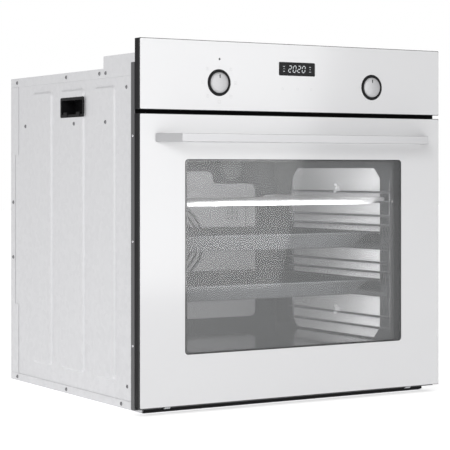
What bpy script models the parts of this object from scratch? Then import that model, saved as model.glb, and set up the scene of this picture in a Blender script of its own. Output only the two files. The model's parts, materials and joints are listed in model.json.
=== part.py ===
"""A 60 cm built-in wall oven with a drop-down glass door, two pop-out knobs and a convection cavity.

Metres, +Z up, +Y into the cabinet, +X to the right of someone facing the door. The origin is on
the underside, midway across, in the plane where the front flange seats on the cabinet.
"""
import math

import bmesh
import bpy
from mathutils import Matrix, Vector

# Clearances and sheet thicknesses
GAP = 0.0003
SHEET = 0.0008
LIP_SHEET = 0.0006
PLATE = 0.0015
RUNNING = 0.0004
OVERSHOOT = 0.010

# Front: control panel above, door below, both in front of the flange
FRONT_WIDTH = 0.595
FRONT_HEIGHT = 0.595
FRONT_DEPTH = 0.029
DOOR_BOTTOM = 0.0111
PANEL_HEIGHT = 0.1128
PANEL_DOOR_GAP = 0.0061
GLASS = 0.004
FLANGE_DEPTH = 0.0115
FLANGE_BOTTOM = 0.0074
FLANGE_LIP = 0.0026

# Outer casing behind the flange
CASING_INSET = 0.020
CASING_DROP = 0.0403
BODY_DEPTH = 0.511
TOP_LIP = 0.0157
BASE_LIP = 0.0134
BOX_RISE = 0.0203
BOX_DEPTH = 0.135
REAR_LIP = 0.033
REAR_LIP_STEP = 0.015
REAR_STEP_LOW = 0.141
REAR_STEP_DROP = 0.1407
BASE_TONGUE = 0.0035

# Pressed fields of the side panels, as shares of the casing's depth
FIELD_SHARES = ((0.180, 0.333), (0.401, 0.587), (0.650, 0.816))
FIELD_LOW = 0.041
FIELD_DROP = 0.0287
FIELD_RISE = 0.0026
FIELD_SLOPE = 0.007

# Carry handle pockets, one in each side
GRIP_LEAD = 0.002
GRIP_LENGTH = 0.091
GRIP_DROP = 0.0777
GRIP_HEIGHT = 0.0345
GRIP_RIM = 0.0045
GRIP_DEPTH = 0.026
GRIP_WALL = 0.002

# Cavity
CAVITY_SIDE_SPACE = 0.0395
CAVITY_REAR_SPACE = 0.080
CAVITY_FLOOR = 0.084
CAVITY_DROP = 0.0401
CAVITY_WALL = 0.001
CAVITY_CORNER = 0.028
MOUTH_LAP = 0.002
INSULATION = 0.020
INSULATION_SPACE = 0.003
ELEMENT_SPACE = 0.012

# Fan cover at the back of the cavity
BAFFLE_INSET = 0.048
BAFFLE_RISE = 0.020
BAFFLE_DROP = 0.053
BAFFLE_DEPTH = 0.026
BAFFLE_NOTCH_WIDTH = 0.096
BAFFLE_NOTCH_HEIGHT = 0.024
GUARD_RADII = (0.042, 0.053, 0.064, 0.075)
GUARD_SLOT = 0.006
GUARD_BRIDGE = 0.010
GUARD_STEPS = 5
VENT_SIZE = (0.004, 0.007)
VENT_PITCH = (0.010, 0.012)
VENT_COUNT = 3
VENT_INSET = 0.063
VENT_RISE = 0.040

# Fans
FAN_LIFT = 0.0065
FAN_RADIUS = 0.068
FAN_BLADES = 8
FAN_SPACE = 0.004
BLADE_SHARES = (0.5, 0.94)
SHAFT_RADIUS = 0.003
MOTOR_RADIUS = 0.034
MOTOR_LENGTH = 0.036
BLOWER_FRONT = 0.175
BLOWER_SIZE = (0.190, 0.160, 0.076)
BLOWER_RIM = 0.022
BLOWER_SPACE = 0.008
BLOWER_BLADES = 12
BLOWER_WHEEL_SHARE = 0.6

# Lamp at the upper right of the back wall
LAMP_RADIUS = 0.024
LAMP_INSET = 0.088
LAMP_DROP = 0.046
LAMP_PROUD = 0.018
LAMP_LAP = 0.004
LAMP_TAIL = 0.012
LAMP_PROFILE = ((0.0, 1.0), (0.6, 0.86), (0.9, 0.5), (1.0, 0.0))

# Heating elements
TUBE_RADIUS = 0.0035
GRILL_DROP = 0.020
GRILL_INSET = 0.048
GRILL_FRONT = 0.070
GRILL_REAR_SPACE = 0.061
GRILL_LOOP = 0.160
GRILL_LOOP_SPACE = 0.070
TUBE_PITCH = 0.028
TUBE_BEND = 0.0126
RING_RADIUS = 0.086

# Side racks: pairs of wires, one pair to a level
RACK_FRONT = 0.027
RACK_REAR_SPACE = 0.095
RACK_END = 0.006
POST_RADIUS = 0.0025
WIRE_RADIUS = 0.0024
LEVELS = 5
FIRST_LEVEL_RISE = 0.07925
LEVELS_ALLOWANCE = 0.14325
PAIR_SPACING = 0.01675
LOW_WIRE_RISES = (0.022, 0.042)
WELD = 0.0017
LINER_FRONT = 0.062
LINER_REAR_SPACE = 0.088
LINER_RISE = 0.003
LINER_DROP = 0.046
LINER_CHAMFER = 0.018

# Telescopic runners, trays and wire shelf
RUNNER_TAIL = 0.011
RUNNER_HEIGHT = 0.0185
RUNNER_WALL = 0.0025
SLIDER_WIDTH = 0.0047
SLIDER_RISE = 0.0085
TRAY_LEVELS = {"lower": 0, "upper": 2}
TRAY_FRONT = 0.041
TRAY_REAR_SPACE = 0.0117
TRAY_HEIGHT = 0.0245
TRAY_FLANGE = 0.013
TRAY_SLOPE = 0.022
TRAY_SHEET = 0.001
TRAY_CURL = 0.0025
SHELF_LEVEL = 4
SHELF_FRONT = 0.036
SHELF_REAR_SPACE = 0.0107
SHELF_RAIL_RADIUS = 0.003
SHELF_SINK = 0.0065
SHELF_PITCH = 0.022
SHELF_SHOULDER = 0.020
SHELF_WIRE_RADIUS = 0.0016

# Door
WINDOW_INSET = 0.0235
WINDOW_RISE = 0.009
WINDOW_DROP = 0.0328
INNER_PANE_LAP = 0.011
INNER_OPENING_LAP = 0.008
PIVOT_DROP = 0.0006
PIVOT_BACK = 0.0005
HANDLE_DROP = 0.0449
HANDLE_HEIGHT = 0.0134
HANDLE_INSET = 0.0275
HANDLE_RUN = 0.027
HANDLE_REACH = 0.040
HANDLE_BAR = 0.009
HANDLE_FOOT_SHARE = 1.6
HANDLE_BEND_SHARE = 0.6
HINGE_OUTSET = 0.002
HINGE_PLATE = 0.004
HINGE_CHEEK = 0.003
HINGE_EYE = 0.0046
HINGE_PIN = 0.0020
HINGE_CHANNEL = 0.115
HINGE_REACH = 0.060
RECEIVER_HEIGHT = 0.040
HINGE_ROOM = 0.003

# Controls
KNOB_X = 0.152
KNOB_RISE = 0.0454
KNOB_RADIUS = 0.0167
KNOB_PROUD = 0.002
KNOB_LENGTH = 0.023
KNOB_CAP = 0.004
BEZEL_RIM = 0.00395
BEZEL_PROUD = 0.001
SPINDLE_RADIUS = 0.003
SPINDLE_IN_SWITCH = 0.014
SWITCH_SIZE = (0.040, 0.030, 0.040)
DISPLAY_LEFT = -0.036
DISPLAY_RIGHT = 0.034
DISPLAY_RISE = 0.0615
DISPLAY_HEIGHT = 0.0205
DISPLAY_BODY = 0.008

# Bottom strip, terminal block and fixing holes
STRIP_BOTTOM = 0.002
STRIP_THICKNESS = 0.0026
TERMINAL_X = -0.155
TERMINAL_DROP = 0.0647
TERMINAL_SIZE = (0.062, 0.028, 0.034)
TERMINAL_LAP = 0.004
GLAND_RADIUS = 0.008
FIXING_RADIUS = 0.00275
FIXING_LOW = 0.140
FIXING_DROP = 0.1247
LOUVRES = 8
LOUVRE_SIZE = (0.100, 0.004)
LOUVRE_PITCH = 0.012

# Values that follow from the ones above: front and casing
GLASS_FRONT = -FRONT_DEPTH
GLASS_REAR = GLASS_FRONT + GLASS
BACKING_FRONT = GLASS_REAR + GAP
FLANGE_FRONT = -FLANGE_DEPTH
BACKING_REAR = FLANGE_FRONT - 2 * GAP
PANEL_BOTTOM = FRONT_HEIGHT - PANEL_HEIGHT
DOOR_TOP = PANEL_BOTTOM - PANEL_DOOR_GAP
HALF_FRONT = FRONT_WIDTH / 2
HALF_BODY = HALF_FRONT - CASING_INSET
BODY_HEIGHT = FRONT_HEIGHT - CASING_DROP
FLANGE_TOP = BODY_HEIGHT + FLANGE_LIP
SIDE_OUTER = HALF_BODY - LIP_SHEET - GAP
SIDE_INNER = SIDE_OUTER - SHEET
REAR_STEP_HIGH = BODY_HEIGHT - REAR_STEP_DROP
FIELDS = tuple((a * BODY_DEPTH, b * BODY_DEPTH) for a, b in FIELD_SHARES)
FIELD_HIGH = BODY_HEIGHT - FIELD_DROP
GRIP_FRONT = FIELDS[1][0] - GRIP_LEAD
GRIP_BOTTOM = BODY_HEIGHT - GRIP_DROP
TERMINAL_HEIGHT = BODY_HEIGHT - TERMINAL_DROP
FIXING_HEIGHTS = (FIXING_LOW, BODY_HEIGHT - FIXING_DROP)

# Cavity, fans and heaters
HALF_CAVITY = HALF_BODY - CAVITY_SIDE_SPACE
CAVITY_TOP = DOOR_TOP - CAVITY_DROP
CAVITY_DEPTH = BODY_DEPTH - CAVITY_REAR_SPACE
INSULATION_REAR = CAVITY_DEPTH + CAVITY_WALL + INSULATION_SPACE + INSULATION
BAFFLE_HALF = HALF_CAVITY - BAFFLE_INSET
BAFFLE_BOTTOM = CAVITY_FLOOR + BAFFLE_RISE
BAFFLE_TOP = CAVITY_TOP - BAFFLE_DROP
BAFFLE_FRONT = CAVITY_DEPTH - GAP - BAFFLE_DEPTH
FAN_HEIGHT = (BAFFLE_BOTTOM + BAFFLE_TOP) / 2 + FAN_LIFT
LAMP_X = HALF_CAVITY - LAMP_INSET
LAMP_Z = CAVITY_TOP - LAMP_DROP
LAMP_BORE = LAMP_RADIUS - LAMP_LAP
GRILL_HALF = HALF_CAVITY - GRILL_INSET
GRILL_BACK = CAVITY_DEPTH - GRILL_REAR_SPACE
BLOWER_RADIUS = BLOWER_SIZE[1] / 2 - BLOWER_RIM
BLOWER_BOTTOM = CAVITY_TOP + CAVITY_WALL + INSULATION_SPACE + INSULATION + GAP

# Racks, runners, trays and shelf
LINER_X = HALF_CAVITY - 2 * GAP - SHEET
LINER_REAR = CAVITY_DEPTH - LINER_REAR_SPACE
LINER_BOTTOM = CAVITY_FLOOR + LINER_RISE
LINER_TOP = CAVITY_TOP - LINER_DROP
RACK_REAR = CAVITY_DEPTH - RACK_REAR_SPACE
POST_X = LINER_X - GAP - POST_RADIUS
WIRE_X = POST_X - POST_RADIUS - WIRE_RADIUS + WELD
LEVEL_PITCH = (CAVITY_TOP - CAVITY_FLOOR - LEVELS_ALLOWANCE) / LEVELS
RUNNER_X = WIRE_X - WIRE_RADIUS - GAP
RUNNER_REAR = RACK_REAR + RUNNER_TAIL
SLIDER_X = RUNNER_X - RUNNER_WALL - GAP
TRAY_REAR = BAFFLE_FRONT - TRAY_REAR_SPACE
SHELF_REAR = BAFFLE_FRONT - SHELF_REAR_SPACE
SHELF_RAIL_X = POST_X - POST_RADIUS - SHELF_RAIL_RADIUS - RUNNING
SHELF_WIRES = 1 + 2 * int((SHELF_RAIL_X - SHELF_SHOULDER) / SHELF_PITCH)

# Door and controls
WINDOW_HALF = HALF_CAVITY - WINDOW_INSET
WINDOW_BOTTOM = CAVITY_FLOOR + WINDOW_RISE
WINDOW_TOP = CAVITY_TOP - WINDOW_DROP
PANE_BOTTOM = WINDOW_BOTTOM - INNER_PANE_LAP
PANE_TOP = WINDOW_TOP + INNER_PANE_LAP
PANE_HALF = WINDOW_HALF + INNER_PANE_LAP
PIVOT_Y = FLANGE_FRONT - PIVOT_BACK
PIVOT_Z = DOOR_BOTTOM - PIVOT_DROP
HINGE_X = HALF_CAVITY + HINGE_OUTSET
HANDLE_BOTTOM = DOOR_TOP - HANDLE_DROP
HANDLE_FOOT = HALF_FRONT - HANDLE_INSET
HANDLE_FACE = HANDLE_FOOT - HANDLE_RUN
KNOB_HEIGHT = PANEL_BOTTOM + KNOB_RISE
BEZEL_RADIUS = KNOB_RADIUS + BEZEL_RIM
DISPLAY_BOTTOM = PANEL_BOTTOM + DISPLAY_RISE
DISPLAY_TOP = DISPLAY_BOTTOM + DISPLAY_HEIGHT
SWITCH_FRONT = GAP
SIDES = (("left", -1), ("right", 1))

FINISHES = {
    "white_glass": ((0.90, 0.90, 0.91), 0.06, 0.0),
    "clear_glass": ((0.75, 0.78, 0.80), 0.03, 0.0),
    "black_plastic": ((0.02, 0.02, 0.022), 0.45, 0.0),
    "dark_metal": ((0.09, 0.09, 0.095), 0.4, 0.6),
    "galvanised": ((0.72, 0.73, 0.75), 0.38, 0.8),
    "enamel": ((0.08, 0.08, 0.085), 0.18, 0.0),
    "liner": ((0.55, 0.55, 0.56), 0.6, 0.0),
    "chrome": ((0.85, 0.85, 0.86), 0.12, 1.0),
    "aluminium": ((0.80, 0.80, 0.81), 0.28, 1.0),
    "heater": ((0.12, 0.11, 0.10), 0.5, 0.7),
    "rubber": ((0.05, 0.05, 0.05), 0.75, 0.0),
    "wool": ((0.80, 0.78, 0.70), 0.95, 0.0),
}


def start_scene():
    """Empties the scene and makes the collections of the parts and of their cutting tools."""
    for obj in list(bpy.data.objects):
        bpy.data.objects.remove(obj)
    parts = bpy.data.collections.new("wall_oven")
    tools = bpy.data.collections.new("cutters")
    bpy.context.scene.collection.children.link(parts)
    bpy.context.scene.collection.children.link(tools)
    return parts, tools


PARTS, TOOLS = start_scene()


def finish_material(name, finish):
    """A Principled material of one part's colour, roughness and metallic value."""
    colour, roughness, metallic = FINISHES[finish]
    material = bpy.data.materials.new(name)
    material.use_nodes = True
    shader = material.node_tree.nodes["Principled BSDF"]
    shader.inputs["Base Color"].default_value = (*colour, 1)
    shader.inputs["Roughness"].default_value = roughness
    shader.inputs["Metallic"].default_value = metallic
    if finish == "clear_glass":
        shader.inputs["Transmission Weight"].default_value = 1.0
    return material


def to_object(name, bm, collection):
    mesh = bpy.data.meshes.new(name)
    bm.to_mesh(mesh)
    bm.free()
    obj = bpy.data.objects.new(name, mesh)
    collection.objects.link(obj)
    return obj


def part(name, bm, finish, smooth=False):
    """Links a part's mesh as a named object with its material."""
    obj = to_object(name, bm, PARTS)
    obj.data.materials.append(finish_material(name, finish))
    if smooth:
        obj.data.shade_smooth()
        obj.data.set_sharp_from_angle(angle=math.radians(40))
    return obj


def modify(obj, bm, operation, label, overlapping=False):
    """Cuts a tool's mesh out of a part, or joins it on."""
    tool = to_object(f"{obj.name}_{label}", bm, TOOLS)
    tool.hide_render = True
    tool.display_type = "WIRE"
    modifier = obj.modifiers.new(label, "BOOLEAN")
    modifier.operation = operation
    modifier.solver = "EXACT"
    modifier.use_self = overlapping
    modifier.object = tool


def cut(obj, bm, label="cut", overlapping=False):
    modify(obj, bm, "DIFFERENCE", label, overlapping)


def fuse(obj, bm, label="joined"):
    modify(obj, bm, "UNION", label, overlapping=True)


def thicken(obj, thickness):
    """Gives an open surface its thickness, on the side away from its normals."""
    modifier = obj.modifiers.new("sheet", "SOLIDIFY")
    modifier.thickness = thickness
    modifier.offset = -1
    modifier.use_even_offset = True


def mirror_left(bm, sign):
    """Turns a right-hand shape into its left-hand one when sign is -1."""
    if sign < 0:
        bmesh.ops.scale(bm, vec=(-1, 1, 1), verts=bm.verts)
        bmesh.ops.reverse_faces(bm, faces=bm.faces)
    return bm


def add_box(bm, low, high):
    size = [b - a for a, b in zip(low, high)]
    centre = [(a + b) / 2 for a, b in zip(low, high)]
    matrix = Matrix.Translation(centre) @ Matrix.Diagonal((*size, 1))
    return bmesh.ops.create_cube(bm, size=1, matrix=matrix)["verts"]


def add_rod(bm, start, end, radius, sides=16):
    start, end = Vector(start), Vector(end)
    turn = (end - start).to_track_quat("Z", "Y").to_matrix().to_4x4()
    matrix = Matrix.Translation((start + end) / 2) @ turn
    bmesh.ops.create_cone(bm, cap_ends=True, segments=sides, radius1=radius, radius2=radius,
                          depth=(end - start).length, matrix=matrix)


def boxes(*spans):
    bm = bmesh.new()
    for low, high in spans:
        add_box(bm, low, high)
    return bm


def rods(*spans, sides=16):
    bm = bmesh.new()
    for start, end, radius in spans:
        add_rod(bm, start, end, radius, sides)
    return bm


def open_box(low, high, open_side):
    """A box without the face whose outward direction is open_side, ready for a thickness."""
    bm = boxes((low, high))
    bm.normal_update()
    gone = [f for f in bm.faces if f.normal.dot(Vector(open_side)) > 0.9]
    bmesh.ops.delete(bm, geom=gone, context="FACES")
    return bm


def folded(profile, along, length, outward):
    """A sheet that follows a bent profile and runs straight along one direction."""
    bm = bmesh.new()
    corners = [bm.verts.new(point) for point in profile]
    edges = [bm.edges.new(pair) for pair in zip(corners, corners[1:])]
    made = bmesh.ops.extrude_edge_only(bm, edges=edges)["geom"]
    moved = [v for v in made if isinstance(v, bmesh.types.BMVert)]
    bmesh.ops.translate(bm, vec=Vector(along) * length, verts=moved)
    bm.normal_update()
    middle = bm.faces[:][len(edges) // 2]
    if middle.normal.dot(Vector(outward)) < 0:
        bmesh.ops.reverse_faces(bm, faces=bm.faces)
    return bm


def round_corners(corners, radius, steps=4, closed=False):
    """The points of a path whose corners are arcs of one radius."""
    corners = [Vector(c) for c in corners]
    count = len(corners)
    points = []
    for i, corner in enumerate(corners):
        if not closed and i in (0, count - 1):
            points.append(corner)
            continue
        back = (corners[i - 1] - corner).normalized()
        ahead = (corners[(i + 1) % count] - corner).normalized()
        half = back.angle(ahead) / 2
        reach = radius / math.tan(half)
        centre = corner + (back + ahead).normalized() * (radius / math.sin(half))
        first = corner + back * reach - centre
        last = corner + ahead * reach - centre
        for step in range(steps + 1):
            points.append(centre + first.slerp(last, step / steps).normalized() * first.length)
    return points


def tube(name, points, radius, finish, closed=False, resolution=2):
    """A wire or heating tube along a path."""
    curve = bpy.data.curves.new(name, "CURVE")
    curve.dimensions = "3D"
    curve.bevel_depth = radius
    curve.bevel_resolution = resolution
    curve.use_fill_caps = True
    spline = curve.splines.new("POLY")
    spline.points.add(len(points) - 1)
    for slot, point in zip(spline.points, points):
        slot.co = (*point, 1)
    spline.use_cyclic_u = closed
    curve.materials.append(finish_material(name, finish))
    obj = bpy.data.objects.new(name, curve)
    PARTS.objects.link(obj)
    return obj


def tube_mesh(name, points, radius, finish, closed=False, resolution=2):
    """A tube as a mesh, so that other wires can be joined to it."""
    curve = tube(name, points, radius, finish, closed, resolution)
    bpy.context.view_layer.update()
    evaluated = curve.evaluated_get(bpy.context.evaluated_depsgraph_get())
    mesh = bpy.data.meshes.new_from_object(evaluated)
    bpy.data.objects.remove(curve)
    bm = bmesh.new()
    bm.from_mesh(mesh)
    bmesh.ops.remove_doubles(bm, verts=bm.verts, dist=0.00001)
    bm.to_mesh(mesh)
    bm.free()
    obj = bpy.data.objects.new(name, mesh)
    PARTS.objects.link(obj)
    return obj


def axis_empty(name, place):
    """An empty on a joint's axis, which the moving pieces hang from."""
    empty = bpy.data.objects.new(name, None)
    empty.location = place
    PARTS.objects.link(empty)
    return empty


def hang(obj, empty):
    obj.parent = empty
    obj.location = -Vector(empty.location)


# Casing

def make_front_frame():
    """The flanged front: a pan with its floor on the seating plane and its rim towards the door."""
    frame = part("front_frame", open_box((-HALF_FRONT, FLANGE_FRONT, FLANGE_BOTTOM),
                                         (HALF_FRONT, 0, FLANGE_TOP), (0, -1, 0)), "dark_metal")
    thicken(frame, PLATE)
    mouth = HALF_CAVITY - MOUTH_LAP
    cut(frame, boxes(((-mouth, FLANGE_FRONT, CAVITY_FLOOR + MOUTH_LAP),
                      (mouth, PLATE, CAVITY_TOP - MOUTH_LAP))), "mouth")
    half_slot = HINGE_PLATE / 2 + HINGE_CHEEK + HINGE_ROOM
    slots = [((s * HINGE_X - half_slot, FLANGE_FRONT - PLATE, 0),
              (s * HINGE_X + half_slot, PLATE, PIVOT_Z + 3 * HINGE_EYE)) for _, s in SIDES]
    cut(frame, boxes(*slots), "hinge_slots")
    spindles = [((s * KNOB_X, -OVERSHOOT, KNOB_HEIGHT), (s * KNOB_X, OVERSHOOT, KNOB_HEIGHT),
                 2 * SPINDLE_RADIUS) for _, s in SIDES]
    seat = (HALF_FRONT + HALF_BODY) / 2
    fixings = [((s * seat, -OVERSHOOT, z), (s * seat, OVERSHOOT, z), FIXING_RADIUS)
               for _, s in SIDES for z in FIXING_HEIGHTS]
    cut(frame, rods(*spindles, *fixings), "holes")


def make_side_panels():
    """Sheet sides with three raised fields and an opening for the carry handle."""
    for side, sign in SIDES:
        bm = boxes(((SIDE_INNER, GAP, SHEET + GAP),
                    (SIDE_OUTER, BODY_DEPTH - 2 * LIP_SHEET, BODY_HEIGHT - LIP_SHEET - GAP)))
        bm.normal_update()
        others = [f for f in bm.faces if f.normal.x < 0.9]
        bmesh.ops.delete(bm, geom=others, context="FACES")
        lines = [(Vector((0, 1, 0)), y) for span in FIELDS
                 for y in (span[0], span[0] + FIELD_SLOPE, span[1] - FIELD_SLOPE, span[1])]
        lines += [(Vector((0, 0, 1)), z) for z in
                  (FIELD_LOW, FIELD_LOW + FIELD_SLOPE, FIELD_HIGH - FIELD_SLOPE, FIELD_HIGH)]
        for normal, offset in lines:
            geometry = bm.verts[:] + bm.edges[:] + bm.faces[:]
            bmesh.ops.bisect_plane(bm, geom=geometry, plane_co=normal * offset, plane_no=normal)
        near = GAP / 10
        for vert in bm.verts:
            in_height = FIELD_LOW + FIELD_SLOPE - near < vert.co.z < FIELD_HIGH - FIELD_SLOPE + near
            in_field = any(a + FIELD_SLOPE - near < vert.co.y < b - FIELD_SLOPE + near
                           for a, b in FIELDS)
            if in_height and in_field:
                vert.co.x += FIELD_RISE
        panel = part(f"{side}_side_panel", mirror_left(bm, sign), "galvanised")
        thicken(panel, SHEET)
        rim = GRIP_RIM - GAP
        opening = boxes(((SIDE_INNER - OVERSHOOT, GRIP_FRONT + rim, GRIP_BOTTOM + rim),
                         (SIDE_OUTER + OVERSHOOT, GRIP_FRONT + GRIP_LENGTH - rim,
                          GRIP_BOTTOM + GRIP_HEIGHT - rim)))
        cut(panel, mirror_left(opening, sign), "grip_opening")


def make_carry_handles():
    """Black pockets in the sides, for lifting the oven."""
    for side, sign in SIDES:
        seat = SIDE_OUTER + FIELD_RISE + GAP
        front, rear = GRIP_FRONT + GRIP_RIM, GRIP_FRONT + GRIP_LENGTH - GRIP_RIM
        bottom, top = GRIP_BOTTOM + GRIP_RIM, GRIP_BOTTOM + GRIP_HEIGHT - GRIP_RIM
        rim = boxes(((seat, GRIP_FRONT, GRIP_BOTTOM),
                     (seat + GRIP_WALL / 2, GRIP_FRONT + GRIP_LENGTH, GRIP_BOTTOM + GRIP_HEIGHT)))
        grip = part(f"{side}_carry_handle", mirror_left(rim, sign), "black_plastic")
        shell = boxes(((seat - GRIP_DEPTH, front, bottom), (seat + GRIP_WALL / 4, rear, top)))
        fuse(grip, mirror_left(shell, sign), "pocket")
        hollow = boxes(((seat - GRIP_DEPTH + GRIP_WALL, front + GRIP_WALL, bottom + GRIP_WALL),
                        (seat + GRIP_WALL, rear - GRIP_WALL, top - GRIP_WALL)))
        cut(grip, mirror_left(hollow, sign), "hollow")


def make_covers():
    """Top cover, raised control box, stepped rear cover and base plate, all of folded sheet."""
    low = BODY_HEIGHT - TOP_LIP
    profile = [(-HALF_BODY, BOX_DEPTH + GAP, low), (-HALF_BODY, BOX_DEPTH + GAP, BODY_HEIGHT),
               (HALF_BODY, BOX_DEPTH + GAP, BODY_HEIGHT), (HALF_BODY, BOX_DEPTH + GAP, low)]
    top = part("top_cover", folded(profile, (0, 1, 0), BODY_DEPTH - BOX_DEPTH - GAP, (0, 0, 1)),
               "galvanised")
    thicken(top, LIP_SHEET)

    box_top = BODY_HEIGHT + BOX_RISE
    box = part("control_box_cover", open_box((-HALF_BODY, GAP, low), (HALF_BODY, BOX_DEPTH, box_top),
                                             (0, 0, -1)), "galvanised")
    thicken(box, LIP_SHEET)
    inside = HALF_BODY - LIP_SHEET
    cut(box, boxes(((-inside, -SHEET, low - SHEET), (inside, 4 * SHEET, box_top - LIP_SHEET))),
        "open_front")
    cut(box, boxes(((-inside, BOX_DEPTH - 2 * SHEET, low - SHEET),
                    (inside, BOX_DEPTH + SHEET, BODY_HEIGHT + GAP))), "open_rear")

    base_top = BASE_LIP
    rear_bottom, rear_top = base_top + GAP, low - GAP
    start = BODY_DEPTH - REAR_LIP
    profile = [(-HALF_BODY, start, rear_bottom), (-HALF_BODY, BODY_DEPTH, rear_bottom),
               (HALF_BODY, BODY_DEPTH, rear_bottom), (HALF_BODY, start, rear_bottom)]
    rear = part("rear_cover", folded(profile, (0, 0, 1), rear_top - rear_bottom, (0, 1, 0)),
                "galvanised")
    thicken(rear, LIP_SHEET)
    fuse(rear, boxes(((-SIDE_INNER, BODY_DEPTH - LIP_SHEET, SHEET + GAP),
                      (SIDE_INNER, BODY_DEPTH, BODY_HEIGHT - LIP_SHEET - GAP))), "plate")
    cut(rear, boxes(((-HALF_FRONT, start - SHEET, REAR_STEP_LOW),
                     (HALF_FRONT, start + REAR_LIP_STEP, REAR_STEP_HIGH))), "lip_step")
    wide, high = LOUVRE_SIZE
    slots = [((s * HALF_BODY / 2 - wide / 2, BODY_DEPTH - 2 * SHEET, z),
              (s * HALF_BODY / 2 + wide / 2, BODY_DEPTH + SHEET, z + high))
             for _, s in SIDES
             for z in [REAR_STEP_LOW + i * LOUVRE_PITCH for i in range(LOUVRES)]]
    cut(rear, boxes(*slots), "louvres")
    x, _, z = TERMINAL_SIZE
    half_x, half_z = x / 2 - TERMINAL_LAP + GAP, z / 2 - TERMINAL_LAP + GAP
    cut(rear, boxes(((TERMINAL_X - half_x, BODY_DEPTH - 2 * SHEET, TERMINAL_HEIGHT - half_z),
                     (TERMINAL_X + half_x, BODY_DEPTH + SHEET, TERMINAL_HEIGHT + half_z))),
        "terminal_window")

    profile = [(-HALF_BODY, -BASE_TONGUE, base_top), (-HALF_BODY, -BASE_TONGUE, 0),
               (HALF_BODY, -BASE_TONGUE, 0), (HALF_BODY, -BASE_TONGUE, base_top)]
    base = part("base_plate", folded(profile, (0, 1, 0), BODY_DEPTH + BASE_TONGUE, (0, 0, -1)),
                "galvanised")
    thicken(base, LIP_SHEET)
    cut(base, boxes(((-HALF_FRONT, -2 * BASE_TONGUE, SHEET), (HALF_FRONT, GAP, 2 * BASE_LIP))),
        "clear_of_flange")


def make_bottom_strip():
    """The black air strip under the door, in front of the base plate."""
    rear = -BASE_TONGUE - GAP
    strip = part("bottom_strip", boxes(((-HALF_BODY, rear - STRIP_THICKNESS, STRIP_BOTTOM),
                                        (HALF_BODY, rear, FLANGE_BOTTOM - GAP))), "black_plastic")
    half_slot = HINGE_PLATE / 2 + HINGE_CHEEK + HINGE_ROOM
    notches = [((s * HINGE_X - half_slot, rear - 2 * STRIP_THICKNESS, PIVOT_Z - HINGE_EYE - GAP),
                (s * HINGE_X + half_slot, rear + STRIP_THICKNESS, FLANGE_BOTTOM)) for _, s in SIDES]
    cut(strip, boxes(*notches), "hinge_notches")


# Cavity and what is built around it

def back_holes(grow):
    """Where the fan shaft and the lamp pass through the back of the cavity."""
    start, end = CAVITY_DEPTH - OVERSHOOT, INSULATION_REAR + OVERSHOOT
    spans = [((0, start, FAN_HEIGHT), (0, end, FAN_HEIGHT), SHAFT_RADIUS + RUNNING + grow),
             ((LAMP_X, start, LAMP_Z), (LAMP_X, end, LAMP_Z), LAMP_BORE + grow)]
    return rods(*spans, sides=24)


def make_cavity():
    """The enamelled steel liner, open at the front, with rounded upright corners at the back."""
    bm = boxes(((-HALF_CAVITY, GAP, CAVITY_FLOOR), (HALF_CAVITY, CAVITY_DEPTH, CAVITY_TOP)))
    bm.normal_update()
    front = [f for f in bm.faces if f.normal.y < -0.9]
    bmesh.ops.delete(bm, geom=front, context="FACES")
    corners = [e for e in bm.edges
               if all(v.co.y > CAVITY_DEPTH - GAP for v in e.verts)
               and abs(e.verts[0].co.z - e.verts[1].co.z) > GAP]
    bmesh.ops.bevel(bm, geom=corners, offset=CAVITY_CORNER, segments=5, profile=0.5,
                    affect="EDGES")
    bmesh.ops.reverse_faces(bm, faces=bm.faces)
    liner = part("cavity_liner", bm, "enamel")
    thicken(liner, CAVITY_WALL)
    cut(liner, back_holes(0), "back_holes")
    ends = [((s * TUBE_PITCH / 2, CAVITY_DEPTH - OVERSHOOT, CAVITY_TOP - GRILL_DROP),
             (s * TUBE_PITCH / 2, CAVITY_DEPTH + OVERSHOOT, CAVITY_TOP - GRILL_DROP),
             TUBE_RADIUS + 2 * RUNNING) for _, s in SIDES]
    cut(liner, rods(*ends), "grill_ends")


def make_insulation():
    """The mineral wool blanket around the cavity, open at the front."""
    reach = CAVITY_WALL + INSULATION_SPACE + INSULATION
    low = (-HALF_CAVITY - reach, INSULATION_SPACE, CAVITY_FLOOR - reach - ELEMENT_SPACE)
    high = (HALF_CAVITY + reach, INSULATION_REAR, CAVITY_TOP + reach)
    blanket = part("insulation_blanket", open_box(low, high, (0, -1, 0)), "wool")
    thicken(blanket, INSULATION)
    cut(blanket, back_holes(2 * RUNNING), "back_holes")


def make_wall_liners():
    """Light rough liner panels with cut corners on the side walls."""
    for side, sign in SIDES:
        bm = boxes(((LINER_X, LINER_FRONT, LINER_BOTTOM), (LINER_X + SHEET, LINER_REAR, LINER_TOP)))
        corners = [e for e in bm.edges if abs(e.verts[0].co.x - e.verts[1].co.x) > GAP]
        bmesh.ops.bevel(bm, geom=corners, offset=LINER_CHAMFER, segments=1, affect="EDGES")
        part(f"{side}_wall_liner", mirror_left(bm, sign), "liner")


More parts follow.
